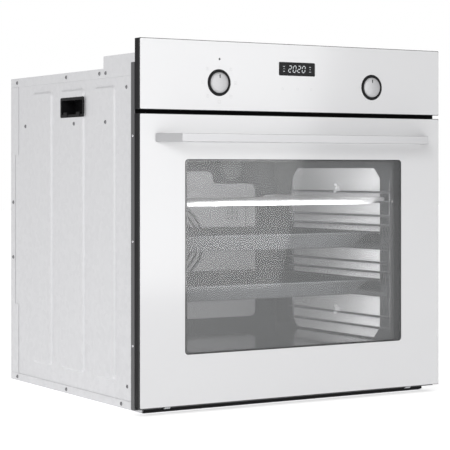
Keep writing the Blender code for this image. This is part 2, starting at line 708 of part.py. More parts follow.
def make_baffle():
    """The fan cover: a shallow pan with ring slots, vents and a corner left free for the lamp."""
    half = BAFFLE_HALF
    step_x, step_z = half - BAFFLE_NOTCH_WIDTH, BAFFLE_TOP - BAFFLE_NOTCH_HEIGHT
    outline = [(-half, BAFFLE_BOTTOM), (half, BAFFLE_BOTTOM), (half, step_z), (step_x, step_z),
               (step_x, BAFFLE_TOP), (-half, BAFFLE_TOP)]
    bm = bmesh.new()
    front = [bm.verts.new((x, BAFFLE_FRONT, z)) for x, z in outline]
    bm.faces.new(front)
    made = bmesh.ops.extrude_edge_only(bm, edges=bm.edges[:])["geom"]
    moved = [v for v in made if isinstance(v, bmesh.types.BMVert)]
    bmesh.ops.translate(bm, vec=(0, BAFFLE_DEPTH, 0), verts=moved)
    bmesh.ops.recalc_face_normals(bm, faces=bm.faces)
    baffle = part("fan_cover", bm, "liner")
    thicken(baffle, SHEET)
    for quarter in range(4):
        cut(baffle, guard_slots(quarter), f"guard_{quarter}")
    wide, high = VENT_SIZE
    columns = [half - VENT_INSET + i * VENT_PITCH[0] for i in range(VENT_COUNT)]
    rows = [FAN_HEIGHT + VENT_RISE + i * VENT_PITCH[1] for i in range(VENT_COUNT)]
    vents = [((x, BAFFLE_FRONT - SHEET, z), (x + wide, BAFFLE_FRONT + 2 * SHEET, z + high))
             for x in columns for z in rows]
    cut(baffle, boxes(*vents), "vents")


def guard_slots(quarter):
    """The ring slots of one quarter of the fan guard, with a bridge left at each end."""
    bm = bmesh.new()
    steps = GUARD_STEPS
    for radius in GUARD_RADII:
        trim = math.asin(GUARD_BRIDGE / 2 / radius)
        first = quarter * math.pi / 2 + trim
        last = (quarter + 1) * math.pi / 2 - trim
        rim = []
        for r, order in ((radius, 1), (radius - GUARD_SLOT, -1)):
            angles = [first + (last - first) * i / steps for i in range(steps + 1)][::order]
            rim += [Vector((r * math.cos(a), BAFFLE_FRONT - SHEET, FAN_HEIGHT + r * math.sin(a)))
                    for a in angles]
        face = bm.faces.new([bm.verts.new(point) for point in rim])
        made = bmesh.ops.extrude_face_region(bm, geom=[face])["geom"]
        moved = [v for v in made if isinstance(v, bmesh.types.BMVert)]
        bmesh.ops.translate(bm, vec=(0, 3 * SHEET, 0), verts=moved)
    bmesh.ops.recalc_face_normals(bm, faces=bm.faces)
    return bm


def make_heaters():
    """Grill tube under the ceiling, bottom tube under the floor, ring round the fan."""
    end, near, loop = CAVITY_DEPTH + 2 * CAVITY_WALL, TUBE_PITCH / 2, GRILL_LOOP / 2
    half = [(near, end), (near, GRILL_BACK), (GRILL_HALF, GRILL_BACK), (GRILL_HALF, GRILL_FRONT),
            (loop, GRILL_FRONT), (loop, GRILL_BACK - GRILL_LOOP_SPACE)]
    grill_z = CAVITY_TOP - GRILL_DROP
    right = [(x, y, grill_z) for x, y in half]
    left = [(-x, y, z) for x, y, z in reversed(right)]
    tube("grill_element", round_corners(right + left, TUBE_BEND, 3), TUBE_RADIUS, "heater")

    floor_z = CAVITY_FLOOR - CAVITY_WALL - ELEMENT_SPACE / 2
    bottom = [(near, GRILL_BACK, floor_z), (near, GRILL_BACK - TUBE_PITCH, floor_z),
              (GRILL_HALF, GRILL_BACK - TUBE_PITCH, floor_z), (GRILL_HALF, GRILL_FRONT, floor_z)]
    bottom += [(-x, y, z) for x, y, z in reversed(bottom)]
    tube("bottom_element", round_corners(bottom, TUBE_BEND, 3), TUBE_RADIUS, "heater")

    ring_y = CAVITY_DEPTH - BAFFLE_DEPTH / 2
    open_angle = math.asin(TUBE_PITCH / 2 / RING_RADIUS)
    steps = 28
    ring = [(RING_RADIUS * math.sin(a), ring_y, FAN_HEIGHT + RING_RADIUS * math.cos(a))
            for a in (open_angle + (2 * math.pi - 2 * open_angle) * i / steps
                      for i in range(steps + 1))]
    tube("ring_heater", ring, TUBE_RADIUS, "heater")


def add_rotor(bm, radius, depth, hub, blades, disc):
    """A bladed rotor about +Z, with its disc at z = 0 and its blades above it."""
    add_rod(bm, (0, 0, 0), (0, 0, disc), radius, 32)
    add_rod(bm, (0, 0, disc / 2), (0, 0, depth), hub, 16)
    for i in range(blades):
        verts = add_box(bm, (radius * BLADE_SHARES[0], -disc / 2, disc / 2),
                        (radius * BLADE_SHARES[1], disc / 2, depth))
        turn = Matrix.Rotation(2 * math.pi * i / blades, 4, "Z")
        bmesh.ops.transform(bm, matrix=turn, verts=verts)


def joined(name, bm, finish, smooth=False):
    """One solid from overlapping shapes in one mesh."""
    core = bmesh.new()
    shape = bpy.data.meshes.new(name)
    bm.to_mesh(shape)
    bm.free()
    core.from_mesh(shape)
    bpy.data.meshes.remove(shape)
    core.faces.ensure_lookup_table()
    seed = core.faces[0]
    region = {seed}
    stack = [seed]
    while stack:
        for edge in stack.pop().edges:
            for face in edge.link_faces:
                if face not in region:
                    region.add(face)
                    stack.append(face)
    rest = core.copy()
    rest.faces.ensure_lookup_table()
    first = {f.index for f in region}
    bmesh.ops.delete(rest, geom=[f for f in rest.faces if f.index in first], context="FACES")
    bmesh.ops.delete(core, geom=[f for f in core.faces if f.index not in first], context="FACES")
    obj = part(name, core, finish, smooth)
    fuse(obj, rest)
    return obj


def make_convection_fan():
    """The fan on its motor's shaft, behind the fan cover."""
    hub = axis_empty("convection_fan_axis", (0, CAVITY_DEPTH, FAN_HEIGHT))
    bm = bmesh.new()
    depth = BAFFLE_DEPTH / 2
    add_rotor(bm, FAN_RADIUS, depth, SHAFT_RADIUS * 3, FAN_BLADES, PLATE)
    shaft_end = BAFFLE_FRONT + depth - INSULATION_REAR - MOTOR_LENGTH / 2
    add_rod(bm, (0, 0, PLATE / 2), (0, 0, shaft_end), SHAFT_RADIUS, 16)
    turn = Matrix.Translation((0, BAFFLE_FRONT + FAN_SPACE + depth, FAN_HEIGHT))
    turn @= Matrix.Rotation(math.radians(90), 4, "X")
    bmesh.ops.transform(bm, matrix=turn, verts=bm.verts)
    hang(joined("convection_fan", bm, "aluminium"), hub)

    front = INSULATION_REAR + GAP
    motor = part("fan_motor", rods(((0, front, FAN_HEIGHT), (0, front + MOTOR_LENGTH, FAN_HEIGHT),
                                    MOTOR_RADIUS), sides=24), "dark_metal")
    cut(motor, rods(((0, front - OVERSHOOT, FAN_HEIGHT),
                     (0, front + MOTOR_LENGTH * 0.75, FAN_HEIGHT), SHAFT_RADIUS + RUNNING)), "bore")


def make_blower():
    """The cooling blower over the cavity: a scroll box with its wheel on an upright axis."""
    wide, deep, high = BLOWER_SIZE
    low = (-wide / 2, BLOWER_FRONT, BLOWER_BOTTOM)
    top = (wide / 2, BLOWER_FRONT + deep, BLOWER_BOTTOM + high)
    housing = part("cooling_blower_housing", boxes((low, top)), "galvanised")
    centre_y = BLOWER_FRONT + deep / 2
    cut(housing, rods(((0, centre_y, BLOWER_BOTTOM + SHEET * 2), (0, centre_y, top[2] - SHEET),
                       BLOWER_RADIUS + BLOWER_SPACE), sides=32), "chamber")
    cut(housing, rods(((0, centre_y, top[2] - 4 * SHEET), (0, centre_y, top[2] + SHEET),
                       BLOWER_RADIUS * BLOWER_WHEEL_SHARE), sides=24), "inlet")
    cut(housing, boxes(((-wide / 3, BLOWER_FRONT - OVERSHOOT, BLOWER_BOTTOM + 2 * SHEET),
                        (0, centre_y, top[2] - 6 * SHEET))), "outlet")
    axis = axis_empty("cooling_wheel_axis", (0, centre_y, BLOWER_BOTTOM))
    bm = bmesh.new()
    add_rotor(bm, BLOWER_RADIUS, high * BLOWER_WHEEL_SHARE, SHAFT_RADIUS * 3, BLOWER_BLADES, PLATE)
    bmesh.ops.translate(bm, vec=(0, centre_y, BLOWER_BOTTOM + 6 * SHEET), verts=bm.verts)
    hang(joined("cooling_wheel", bm, "black_plastic"), axis)


def make_lamp():
    """The lamp socket behind the back wall and its screwed glass cap inside."""
    front, rear = CAVITY_DEPTH - LAMP_PROUD / 3, INSULATION_REAR + LAMP_TAIL
    part("lamp_socket", rods(((LAMP_X, front, LAMP_Z), (LAMP_X, rear, LAMP_Z),
                              LAMP_BORE - RUNNING), sides=24), "heater")
    bm = bmesh.new()
    corners = [bm.verts.new((LAMP_RADIUS * r, 0, LAMP_PROUD * z)) for r, z in LAMP_PROFILE]
    for pair in zip(corners, corners[1:]):
        bm.edges.new(pair)
    obj = part("lamp_glass", bm, "clear_glass")
    screw = obj.modifiers.new("turned", "SCREW")
    screw.steps = screw.render_steps = 24
    screw.use_merge_vertices = True
    screw.merge_threshold = 0.00005
    thicken(obj, PLATE)
    obj.rotation_euler = (math.radians(90), 0, 0)
    obj.location = (LAMP_X, CAVITY_DEPTH - PLATE, LAMP_Z)


# Racks, runners, trays and shelf

def level_wires(level):
    low = CAVITY_FLOOR + FIRST_LEVEL_RISE + LEVEL_PITCH * level
    return low, low + PAIR_SPACING


def make_racks():
    """Chromed wire racks: two posts and a pair of wires for each level."""
    heights = [CAVITY_FLOOR + rise for rise in LOW_WIRE_RISES]
    heights += [z for level in range(LEVELS) for z in level_wires(level)]
    for side, sign in SIDES:
        bm = bmesh.new()
        for y in (RACK_FRONT, RACK_REAR):
            add_rod(bm, (POST_X, y, heights[0] - RACK_END), (POST_X, y, heights[-1] + RACK_END),
                    POST_RADIUS, 8)
        for z in heights:
            add_rod(bm, (WIRE_X, RACK_FRONT - RACK_END, z), (WIRE_X, RACK_REAR + RACK_END, z),
                    WIRE_RADIUS, 8)
        joined(f"{side}_rack", mirror_left(bm, sign), "chrome")


def make_runners():
    """Telescopic runners on two levels: a fixed channel on the rack, and a slider for the tray."""
    for name, level in TRAY_LEVELS.items():
        low, _ = level_wires(level)
        for side, sign in SIDES:
            rail = boxes(((RUNNER_X - RUNNER_WALL, RACK_FRONT, low),
                          (RUNNER_X, RUNNER_REAR, low + RUNNER_HEIGHT)))
            part(f"{name}_{side}_runner", mirror_left(rail, sign), "chrome")


def rect_ring(bm, half_x, front, rear, z):
    points = ((-half_x, front, z), (half_x, front, z), (half_x, rear, z), (-half_x, rear, z))
    return [bm.verts.new(point) for point in points]


def make_trays():
    """Two enamelled trays, each riding on its pair of runner sliders."""
    for name, level in TRAY_LEVELS.items():
        low, _ = level_wires(level)
        axis = axis_empty(f"{name}_tray_axis", (0, TRAY_FRONT, low))
        slider_top = low + SLIDER_RISE + RUNNER_HEIGHT
        for side, sign in SIDES:
            bar = boxes(((SLIDER_X - SLIDER_WIDTH, RACK_FRONT + 2 * SLIDER_WIDTH, low + SLIDER_RISE),
                         (SLIDER_X, RUNNER_REAR, slider_top)))
            hang(part(f"{name}_{side}_slider", mirror_left(bar, sign), "chrome"), axis)
        flange_z = slider_top + GAP + TRAY_SHEET
        bottom_z = flange_z - TRAY_HEIGHT
        rear = TRAY_REAR
        rim = SLIDER_X - TRAY_FLANGE
        bm = bmesh.new()
        rings = [rect_ring(bm, rim - TRAY_SLOPE, TRAY_FRONT + TRAY_FLANGE + TRAY_SLOPE,
                           rear - TRAY_FLANGE - TRAY_SLOPE, bottom_z),
                 rect_ring(bm, rim, TRAY_FRONT + TRAY_FLANGE, rear - TRAY_FLANGE, flange_z),
                 rect_ring(bm, SLIDER_X, TRAY_FRONT, rear, flange_z),
                 rect_ring(bm, SLIDER_X, TRAY_FRONT, rear, flange_z + TRAY_CURL)]
        bm.faces.new(rings[0])
        for inner, outer in zip(rings, rings[1:]):
            for i in range(4):
                bm.faces.new((inner[(i + 1) % 4], inner[i], outer[i], outer[(i + 1) % 4]))
        tray = part(f"{name}_tray", bm, "enamel")
        thicken(tray, TRAY_SHEET)
        hang(tray, axis)


def make_shelf():
    """The wire shelf: a bent frame wire and the wires across it."""
    low, _ = level_wires(SHELF_LEVEL)
    rail_z = low + WIRE_RADIUS + GAP + SHELF_RAIL_RADIUS
    bar_z = rail_z - SHELF_SINK
    rear = SHELF_REAR
    inner = SHELF_PITCH * (SHELF_WIRES - 1) / 2
    kink = inner + 2 * SHELF_SINK
    corners = [(-inner, SHELF_FRONT, bar_z), (inner, SHELF_FRONT, bar_z),
               (kink, SHELF_FRONT, rail_z), (SHELF_RAIL_X, SHELF_FRONT, rail_z),
               (SHELF_RAIL_X, rear, rail_z), (kink, rear, rail_z), (inner, rear, bar_z),
               (-inner, rear, bar_z), (-kink, rear, rail_z), (-SHELF_RAIL_X, rear, rail_z),
               (-SHELF_RAIL_X, SHELF_FRONT, rail_z), (-kink, SHELF_FRONT, rail_z)]
    shelf = tube_mesh("wire_shelf", round_corners(corners, 2 * SHELF_RAIL_RADIUS, 2, closed=True),
                      SHELF_RAIL_RADIUS, "chrome", closed=True, resolution=1)
    cross_z = bar_z + SHELF_RAIL_RADIUS
    wires = [((x, SHELF_FRONT - SHELF_WIRE_RADIUS, cross_z), (x, rear + SHELF_WIRE_RADIUS, cross_z),
              SHELF_WIRE_RADIUS) for x in
             [SHELF_PITCH * i - inner + SHELF_WIRE_RADIUS / 3 for i in range(SHELF_WIRES)]]
    fuse(shelf, rods(*wires, sides=6), "cross_wires")
    hang(shelf, axis_empty("wire_shelf_axis", (0, SHELF_FRONT, rail_z)))


# Door

def make_seal():
    """The rubber bead on the flange, round the mouth of the cavity."""
    radius = (FLANGE_DEPTH + 2 * GAP - PLATE - 2 * GAP) / 2
    y = -PLATE - GAP - radius
    out = radius + 2 * MOUTH_LAP
    half = HALF_CAVITY + out - MOUTH_LAP
    low, high = CAVITY_FLOOR + MOUTH_LAP - out, CAVITY_TOP - MOUTH_LAP + out
    corners = [(-half, y, low), (half, y, low), (half, y, high), (-half, y, high)]
    tube("door_seal", round_corners(corners, 4 * radius, 5, closed=True), radius, "rubber",
         closed=True)


def make_door():
    """Outer glass, backing pan, inner pane and the two hinge bodies, all hung from the pivot."""
    pivot = axis_empty("door_pivot", (0, PIVOT_Y, PIVOT_Z))
    glass = part("door_outer_glass", boxes(((-HALF_FRONT, GLASS_FRONT, DOOR_BOTTOM),
                                            (HALF_FRONT, GLASS_REAR, DOOR_TOP))), "white_glass")
    pan = part("door_frame", open_box((-HALF_FRONT + GAP, BACKING_FRONT, DOOR_BOTTOM + GAP),
                                      (HALF_FRONT - GAP, BACKING_REAR, DOOR_TOP - GAP),
                                      (0, -1, 0)), "black_plastic")
    thicken(pan, PLATE)
    half_opening = WINDOW_HALF + INNER_OPENING_LAP
    cut(pan, boxes(((-half_opening, BACKING_REAR - 2 * PLATE, WINDOW_BOTTOM - INNER_OPENING_LAP),
                    (half_opening, BACKING_REAR + PLATE, WINDOW_TOP + INNER_OPENING_LAP))),
        "window")
    half_slot = HINGE_PLATE / 2 + HINGE_CHEEK + HINGE_ROOM
    notches = [((s * HINGE_X - half_slot, PIVOT_Y - HINGE_EYE - RUNNING, DOOR_BOTTOM - PLATE),
                (s * HINGE_X + half_slot, BACKING_REAR + PLATE, PIVOT_Z + 4 * HINGE_EYE))
               for _, s in SIDES]
    cut(pan, boxes(*notches), "hinge_notches")
    pane_rear = BACKING_REAR - PLATE - GAP
    pane = part("door_inner_glass", boxes(((-PANE_HALF, pane_rear - GLASS, PANE_BOTTOM),
                                           (PANE_HALF, pane_rear, PANE_TOP))), "clear_glass")
    for obj in (glass, pan, pane, make_handle()):
        hang(obj, pivot)
    for side, sign in SIDES:
        hang(make_hinge_body(side, sign), pivot)


def make_hinge_body(side, sign):
    """The channel in the door, its two cheeks and the pin that turns in the chassis arm."""
    inner = HINGE_PLATE / 2 + GAP
    outer = inner + HINGE_CHEEK
    rear = BACKING_REAR - PLATE - GAP
    front = BACKING_FRONT + GAP
    start = PIVOT_Z + 4 * HINGE_EYE
    cheek_top = start + HINGE_EYE
    low = (HINGE_X - outer, front, start)
    high = (HINGE_X + outer, rear, start + HINGE_CHANNEL)
    channel = boxes((low, high))
    body = part(f"{side}_hinge_body", mirror_left(channel, sign), "galvanised")
    hollow = boxes(((HINGE_X - inner, front - PLATE, start + PLATE),
                    (HINGE_X + inner, rear - PLATE, start + HINGE_CHANNEL - PLATE)))
    cut(body, mirror_left(hollow, sign), "channel")
    cheeks = bmesh.new()
    for near, far in ((HINGE_X - outer, HINGE_X - inner), (HINGE_X + inner, HINGE_X + outer)):
        add_box(cheeks, (near, PIVOT_Y - HINGE_EYE, PIVOT_Z), (far, rear, cheek_top))
        add_rod(cheeks, (near, PIVOT_Y, PIVOT_Z), (far, PIVOT_Y, PIVOT_Z), HINGE_EYE, 20)
    add_rod(cheeks, (HINGE_X - outer + GAP, PIVOT_Y, PIVOT_Z),
            (HINGE_X + outer - GAP, PIVOT_Y, PIVOT_Z), HINGE_PIN, 16)
    fuse(body, mirror_left(cheeks, sign), "cheeks")
    return body


def make_hinge_mounts():
    """Chassis arms with the eye for the door's pin, each hooked in a bracket behind the flange."""
    half = HINGE_PLATE / 2
    arm_low, arm_high = PIVOT_Z - HINGE_EYE / 2, PIVOT_Z + HINGE_EYE / 2
    tail = HINGE_REACH - 2 * PLATE
    wall = half + HINGE_ROOM
    for side, sign in SIDES:
        bm = bmesh.new()
        add_rod(bm, (HINGE_X - half, PIVOT_Y, PIVOT_Z), (HINGE_X + half, PIVOT_Y, PIVOT_Z),
                HINGE_EYE, 20)
        arm = part(f"{side}_hinge_arm", mirror_left(bm, sign), "galvanised")
        shapes = boxes(((HINGE_X - half, PIVOT_Y, arm_low), (HINGE_X + half, tail, arm_high)),
                       ((HINGE_X - half, tail / 3, arm_low + GAP),
                        (HINGE_X + half, tail - GAP, SHEET + RECEIVER_HEIGHT - PLATE)))
        fuse(arm, mirror_left(shapes, sign), "arm")
        eye = rods(((HINGE_X - 2 * half, PIVOT_Y, PIVOT_Z), (HINGE_X + 2 * half, PIVOT_Y, PIVOT_Z),
                    HINGE_PIN + RUNNING))
        cut(arm, mirror_left(eye, sign), "eye")
        low = (HINGE_X - wall, PLATE, SHEET + GAP)
        high = (HINGE_X + wall, HINGE_REACH + PLATE, SHEET + GAP + RECEIVER_HEIGHT)
        bracket = part(f"{side}_hinge_bracket",
                       mirror_left(open_box(low, high, (0, -1, 0)), sign), "galvanised")
        thicken(bracket, PLATE)


def make_handle():
    """A flat bar whose ends slope back to the glass."""
    foot, face = HANDLE_FOOT, HANDLE_FACE
    base, reach = GLASS_FRONT - GAP, GLASS_FRONT - HANDLE_REACH
    outer = [(-foot, base), (-face, reach), (face, reach), (foot, base)]
    bar = HANDLE_BAR
    inner_foot, inner_face = foot - bar * HANDLE_FOOT_SHARE, face - bar * HANDLE_BEND_SHARE
    inner = [(inner_foot, base), (inner_face, reach + bar), (-inner_face, reach + bar),
             (-inner_foot, base)]
    curve = bpy.data.curves.new("door_handle", "CURVE")
    curve.dimensions = "2D"
    curve.fill_mode = "BOTH"
    curve.extrude = HANDLE_HEIGHT / 2
    spline = curve.splines.new("POLY")
    spline.points.add(len(outer + inner) - 1)
    for slot, (x, y) in zip(spline.points, outer + inner):
        slot.co = (x, y - GLASS_FRONT, 0, 1)
    spline.use_cyclic_u = True
    obj = bpy.data.objects.new("door_handle", curve)
    PARTS.objects.link(obj)
    bpy.context.view_layer.update()
    evaluated = obj.evaluated_get(bpy.context.evaluated_depsgraph_get())
    mesh = bpy.data.meshes.new_from_object(evaluated)
    bpy.data.objects.remove(obj)
    bm = bmesh.new()
    bm.from_mesh(mesh)
    bmesh.ops.remove_doubles(bm, verts=bm.verts, dist=0.00001)
    bmesh.ops.translate(bm, vec=(0, GLASS_FRONT, HANDLE_BOTTOM + HANDLE_HEIGHT / 2), verts=bm.verts)
    bpy.data.meshes.remove(mesh)
    return part("door_handle", bm, "aluminium")


# Controls

def make_control_panel():
    """Glass fascia with two knob holes and a display window, on a plastic carrier."""
    fascia = part("control_glass", boxes(((-HALF_FRONT, GLASS_FRONT, PANEL_BOTTOM),
                                          (HALF_FRONT, GLASS_REAR, FRONT_HEIGHT))), "white_glass")
    low = (-HALF_FRONT + GAP, BACKING_FRONT, PANEL_BOTTOM + GAP)
    high = (HALF_FRONT - GAP, BACKING_REAR, FRONT_HEIGHT - GAP)
    carrier = part("control_carrier", open_box(low, high, (0, 1, 0)), "black_plastic")
    thicken(carrier, PLATE)
    reach = GLASS_FRONT - OVERSHOOT
    end = BACKING_FRONT + OVERSHOOT
    for obj in (fascia, carrier):
        knob_holes = [((s * KNOB_X, reach, KNOB_HEIGHT), (s * KNOB_X, end, KNOB_HEIGHT),
                       BEZEL_RADIUS + GAP) for _, s in SIDES]
        cut(obj, rods(*knob_holes, sides=32), "knob_holes")
        cut(obj, boxes(((DISPLAY_LEFT - GAP, reach, DISPLAY_BOTTOM - GAP),
                        (DISPLAY_RIGHT + GAP, end, DISPLAY_TOP + GAP))), "display_window")
    screen = boxes(((DISPLAY_LEFT, GLASS_FRONT, DISPLAY_BOTTOM),
                    (DISPLAY_RIGHT, BACKING_FRONT + 3 * PLATE, DISPLAY_TOP)))
    display = part("display_module", screen, "black_plastic")
    back = BACKING_FRONT + PLATE + GAP
    fuse(display, boxes(((DISPLAY_LEFT - DISPLAY_BODY, back, DISPLAY_BOTTOM - DISPLAY_BODY),
                         (DISPLAY_RIGHT + DISPLAY_BODY, BACKING_REAR,
                          DISPLAY_TOP + DISPLAY_BODY))), "board_box")


def ring(name, centre, inner, outer, front, rear, finish):
    """A round collar about an axis along Y."""
    x, z = centre
    obj = part(name, rods(((x, front, z), (x, rear, z), outer), sides=32), finish, smooth=True)
    cut(obj, rods(((x, front - OVERSHOOT, z), (x, rear + OVERSHOOT, z), inner), sides=32), "bore")
    return obj


def make_controls():
    """For each knob: a bezel, a switch behind the flange, its spindle and the pop-out knob."""
    controls = (("function", "function_switch", -1), ("temperature", "thermostat", 1))
    for label, switch, sign in controls:
        x = sign * KNOB_X
        ring(f"{label}_bezel", (x, KNOB_HEIGHT), KNOB_RADIUS + RUNNING, BEZEL_RADIUS,
             GLASS_FRONT - BEZEL_PROUD, BACKING_FRONT + 2 * PLATE, "black_plastic")
        wide, deep, high = SWITCH_SIZE
        box = part(switch, boxes(((x - wide / 2, SWITCH_FRONT, KNOB_HEIGHT - high / 2),
                                  (x + wide / 2, SWITCH_FRONT + deep, KNOB_HEIGHT + high / 2))),
                   "black_plastic")
        knob_front = GLASS_FRONT - KNOB_PROUD
        knob_rear = knob_front + KNOB_LENGTH
        spindle_front = knob_front + KNOB_CAP
        bore_end = SPINDLE_IN_SWITCH + 2 * GAP
        cut(box, rods(((x, -OVERSHOOT, KNOB_HEIGHT), (x, bore_end, KNOB_HEIGHT),
                       SPINDLE_RADIUS + RUNNING)), "bore")
        axis = axis_empty(f"{label}_axis", (x, knob_front, KNOB_HEIGHT))
        spindle = part(f"{label}_spindle", rods(((x, spindle_front, KNOB_HEIGHT),
                                                 (x, SPINDLE_IN_SWITCH, KNOB_HEIGHT),
                                                 SPINDLE_RADIUS)), "aluminium", smooth=True)
        body = rods(((x, knob_front, KNOB_HEIGHT), (x, knob_rear, KNOB_HEIGHT), KNOB_RADIUS),
                    sides=32)
        knob = part(f"{label}_knob", body, "aluminium", smooth=True)
        cut(knob, rods(((x, spindle_front - GAP, KNOB_HEIGHT),
                        (x, knob_rear + OVERSHOOT, KNOB_HEIGHT), SPINDLE_RADIUS + RUNNING)), "bore")
        hang(spindle, axis)
        hang(knob, axis)


def make_terminal_block():
    """The mains terminal box in the rear cover, with the gland that a cord would enter by."""
    wide, deep, high = TERMINAL_SIZE
    rear = BODY_DEPTH - LIP_SHEET - GAP

    def spanned(inset, front, back):
        half, tall = wide / 2 - inset, high / 2 - inset
        return boxes(((TERMINAL_X - half, front, TERMINAL_HEIGHT - tall),
                      (TERMINAL_X + half, back, TERMINAL_HEIGHT + tall)))

    block = part("terminal_block", spanned(0, rear - deep, rear), "black_plastic")
    fuse(block, spanned(TERMINAL_LAP, rear - deep / 2, BODY_DEPTH), "face")
    cut(block, rods(((TERMINAL_X, rear - deep / 2, TERMINAL_HEIGHT),
                     (TERMINAL_X, BODY_DEPTH + OVERSHOOT, TERMINAL_HEIGHT), GLAND_RADIUS)), "gland")


def main():
    make_front_frame()
    make_side_panels()
    make_carry_handles()
    make_covers()
    make_bottom_strip()
    make_cavity()
    make_insulation()
    make_wall_liners()
    make_baffle()
    make_heaters()
    make_convection_fan()
    make_blower()
    make_lamp()
    make_racks()
    make_runners()
    make_trays()
    make_shelf()
    make_seal()
    make_hinge_mounts()
    make_door()
    make_control_panel()
    make_controls()
    make_terminal_block()


main()
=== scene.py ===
"""The looks of a 60 cm built-in wall oven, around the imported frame.

Laid out as an add-on: property groups hold the sizes and colours, one operator makes each piece
or group of like pieces, and main() runs them in order. Metres, +Z up, +Y into the cabinet.
"""
import json
import math
from functools import partial

import bmesh
import bpy
from bpy.props import FloatProperty, FloatVectorProperty, PointerProperty
from mathutils import Matrix, Vector


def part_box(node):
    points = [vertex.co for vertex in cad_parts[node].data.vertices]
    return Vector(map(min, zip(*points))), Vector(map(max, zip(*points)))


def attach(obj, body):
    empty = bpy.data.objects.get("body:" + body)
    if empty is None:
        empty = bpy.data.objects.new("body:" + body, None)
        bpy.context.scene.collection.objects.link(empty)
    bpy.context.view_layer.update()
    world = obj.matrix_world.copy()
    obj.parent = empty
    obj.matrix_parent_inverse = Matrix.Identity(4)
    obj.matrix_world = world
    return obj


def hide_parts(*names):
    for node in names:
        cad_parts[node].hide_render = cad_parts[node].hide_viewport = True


bl_info = {
    "name": "Built-in Wall Oven",
    "version": (1, 0, 0),
    "blender": (4, 5, 0),
    "location": "View3D > Sidebar > Oven",
    "description": "Makes the visible surfaces of a built-in oven around its frame",
    "category": "Add Mesh",
}

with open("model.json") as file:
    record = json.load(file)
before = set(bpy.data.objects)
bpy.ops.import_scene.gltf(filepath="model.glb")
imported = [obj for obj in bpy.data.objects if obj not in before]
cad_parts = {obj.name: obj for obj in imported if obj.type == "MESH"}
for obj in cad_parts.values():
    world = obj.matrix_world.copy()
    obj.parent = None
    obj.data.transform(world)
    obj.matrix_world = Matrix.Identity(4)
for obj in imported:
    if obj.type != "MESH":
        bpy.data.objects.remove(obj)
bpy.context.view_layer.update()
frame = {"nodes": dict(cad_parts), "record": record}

# Planes that a flat outline can lie in: its two directions, then the way its thickness runs
FRONT = Matrix(((1, 0, 0, 0), (0, 0, -1, 0), (0, 1, 0, 0), (0, 0, 0, 1)))
SIDE = Matrix(((0, 0, 1, 0), (1, 0, 0, 0), (0, 1, 0, 0), (0, 0, 0, 1)))
PLAN = Matrix.Identity(4)
SIDES = (("left", -1), ("right", 1))
# A step too small to see, which keeps surfaces apart
HAIR = 0.0001
MM = 0.001
# How much further the finished side fields stand out than the frame's
FIELD_SWELL = 0.7 * MM
# How far the covers' lips lie outside the side sheets they lap
LIP_STEP = 0.9 * MM
# Thickness of pressed sheet
SHEET = 0.8 * MM

# Glass and handle
GLASS_CORNER = 1.5 * MM
PRINT_INSET = 0.9 * MM
PANE_CORNER = 6 * MM
HANDLE_RUN = 27 * MM
HANDLE_BAR = 9 * MM
FOOT_SHARE = 1.6
BEND_SHARE = 0.6

# Controls
DIGIT_PITCH = 0.86
SIDE_MARK_REACH = 26 * MM
SIDE_MARK_STEP = 4 * MM
BUTTONS = (-29.5 * MM, 0, 27 * MM)
BUTTON_DROP = 6.6 * MM
BUTTON_RING = (2 * MM, 1.6 * MM)
INDICATOR_RADIUS = 1.9 * MM
INDICATOR_DROP = 29.3 * MM

# Casing: the side fields' runs along Y and their ends along Z
FIELD_RUNS = ((92, 170), (205, 300), (332, 417))
FIELD_LOW = 41 * MM
FIELD_HIGH = 526 * MM
LAP_MARGIN = 15 * MM
LAP_END = 79.5 * MM
FLANGE_SCREW_HEIGHTS = (441, 274, 109)
# Screws in each side: the surface they sit on, then millimetres along Y and Z
SIDE_SCREWS = (("lip", 483, 546.5), ("lip", 276, 547), ("lip", 149, 547), ("lip", 126.5, 547),
               ("sheet", 54, 521), ("lip", 482, 7), ("lip", 276, 7), ("lip", 71, 7),
               ("sheet", 448, 466), ("field", 241, 466), ("field", 123, 466), ("lip", 500, 327),
               ("lip", 500, 226), ("sheet", 51.5, 37))
# Screws across the rear and the top, as shares of half the casing's width
SCREW_SHARES = (-0.93, -0.5, 0, 0.5, 0.93)
REAR_SCREW_HEIGHTS = (25 * MM, 525 * MM)
TOP_SCREW_DEPTHS = (150 * MM, 495 * MM)
FLANGE_SCREW_RADIUS = 2.2 * MM
# Carry handle: how far its rim laps the sheet, and its two gripping teeth
GRIP_LAP = 4.2 * MM
TOOTH_LENGTH = 14 * MM

# Cavity
FAN_HEIGHT = 250 * MM
GUARD_RADII = (42 * MM, 53 * MM, 64 * MM, 75 * MM)
GUARD_SLOT = 6 * MM
GUARD_BRIDGE = 5 * MM
RIB_HEIGHTS = (128 * MM, 352 * MM)
LAMP_NOTCH = (96 * MM, 24 * MM)
VENT_COLUMNS = (127 * MM, 137 * MM, 147 * MM)
VENT_ROWS = (290 * MM, 302 * MM, 314 * MM)
VENT_SIZE = (4 * MM, 7 * MM)
ELEMENT_GAP = 14 * MM

# Racks and shelf
LEVELS = 5
LEVEL_PITCH = 41.75
LEVEL_PAIR = (163.25, 180)
LOW_WIRES = [106, 126]
POST_RADIUS = 2.5 * MM
RACK_WIRE = 2.4 * MM
SHELF_FRAME = 3 * MM
THIN_WIRE = 1.6 * MM
SHELF_PITCH = 22 * MM
SHELF_SIDE_WIRES = 9


def span(node):
    """The lowest and highest corner of a frame node, as two plain tuples."""
    low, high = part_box(node)
    return tuple(low), tuple(high)


# Settings

def colour(label, text, value):
    return FloatVectorProperty(name=label, description=text, subtype="COLOR", size=3, min=0, max=1,
                               default=value)


def length(label, text, value):
    return FloatProperty(name=label, description=text, unit="LENGTH", precision=4, default=value)


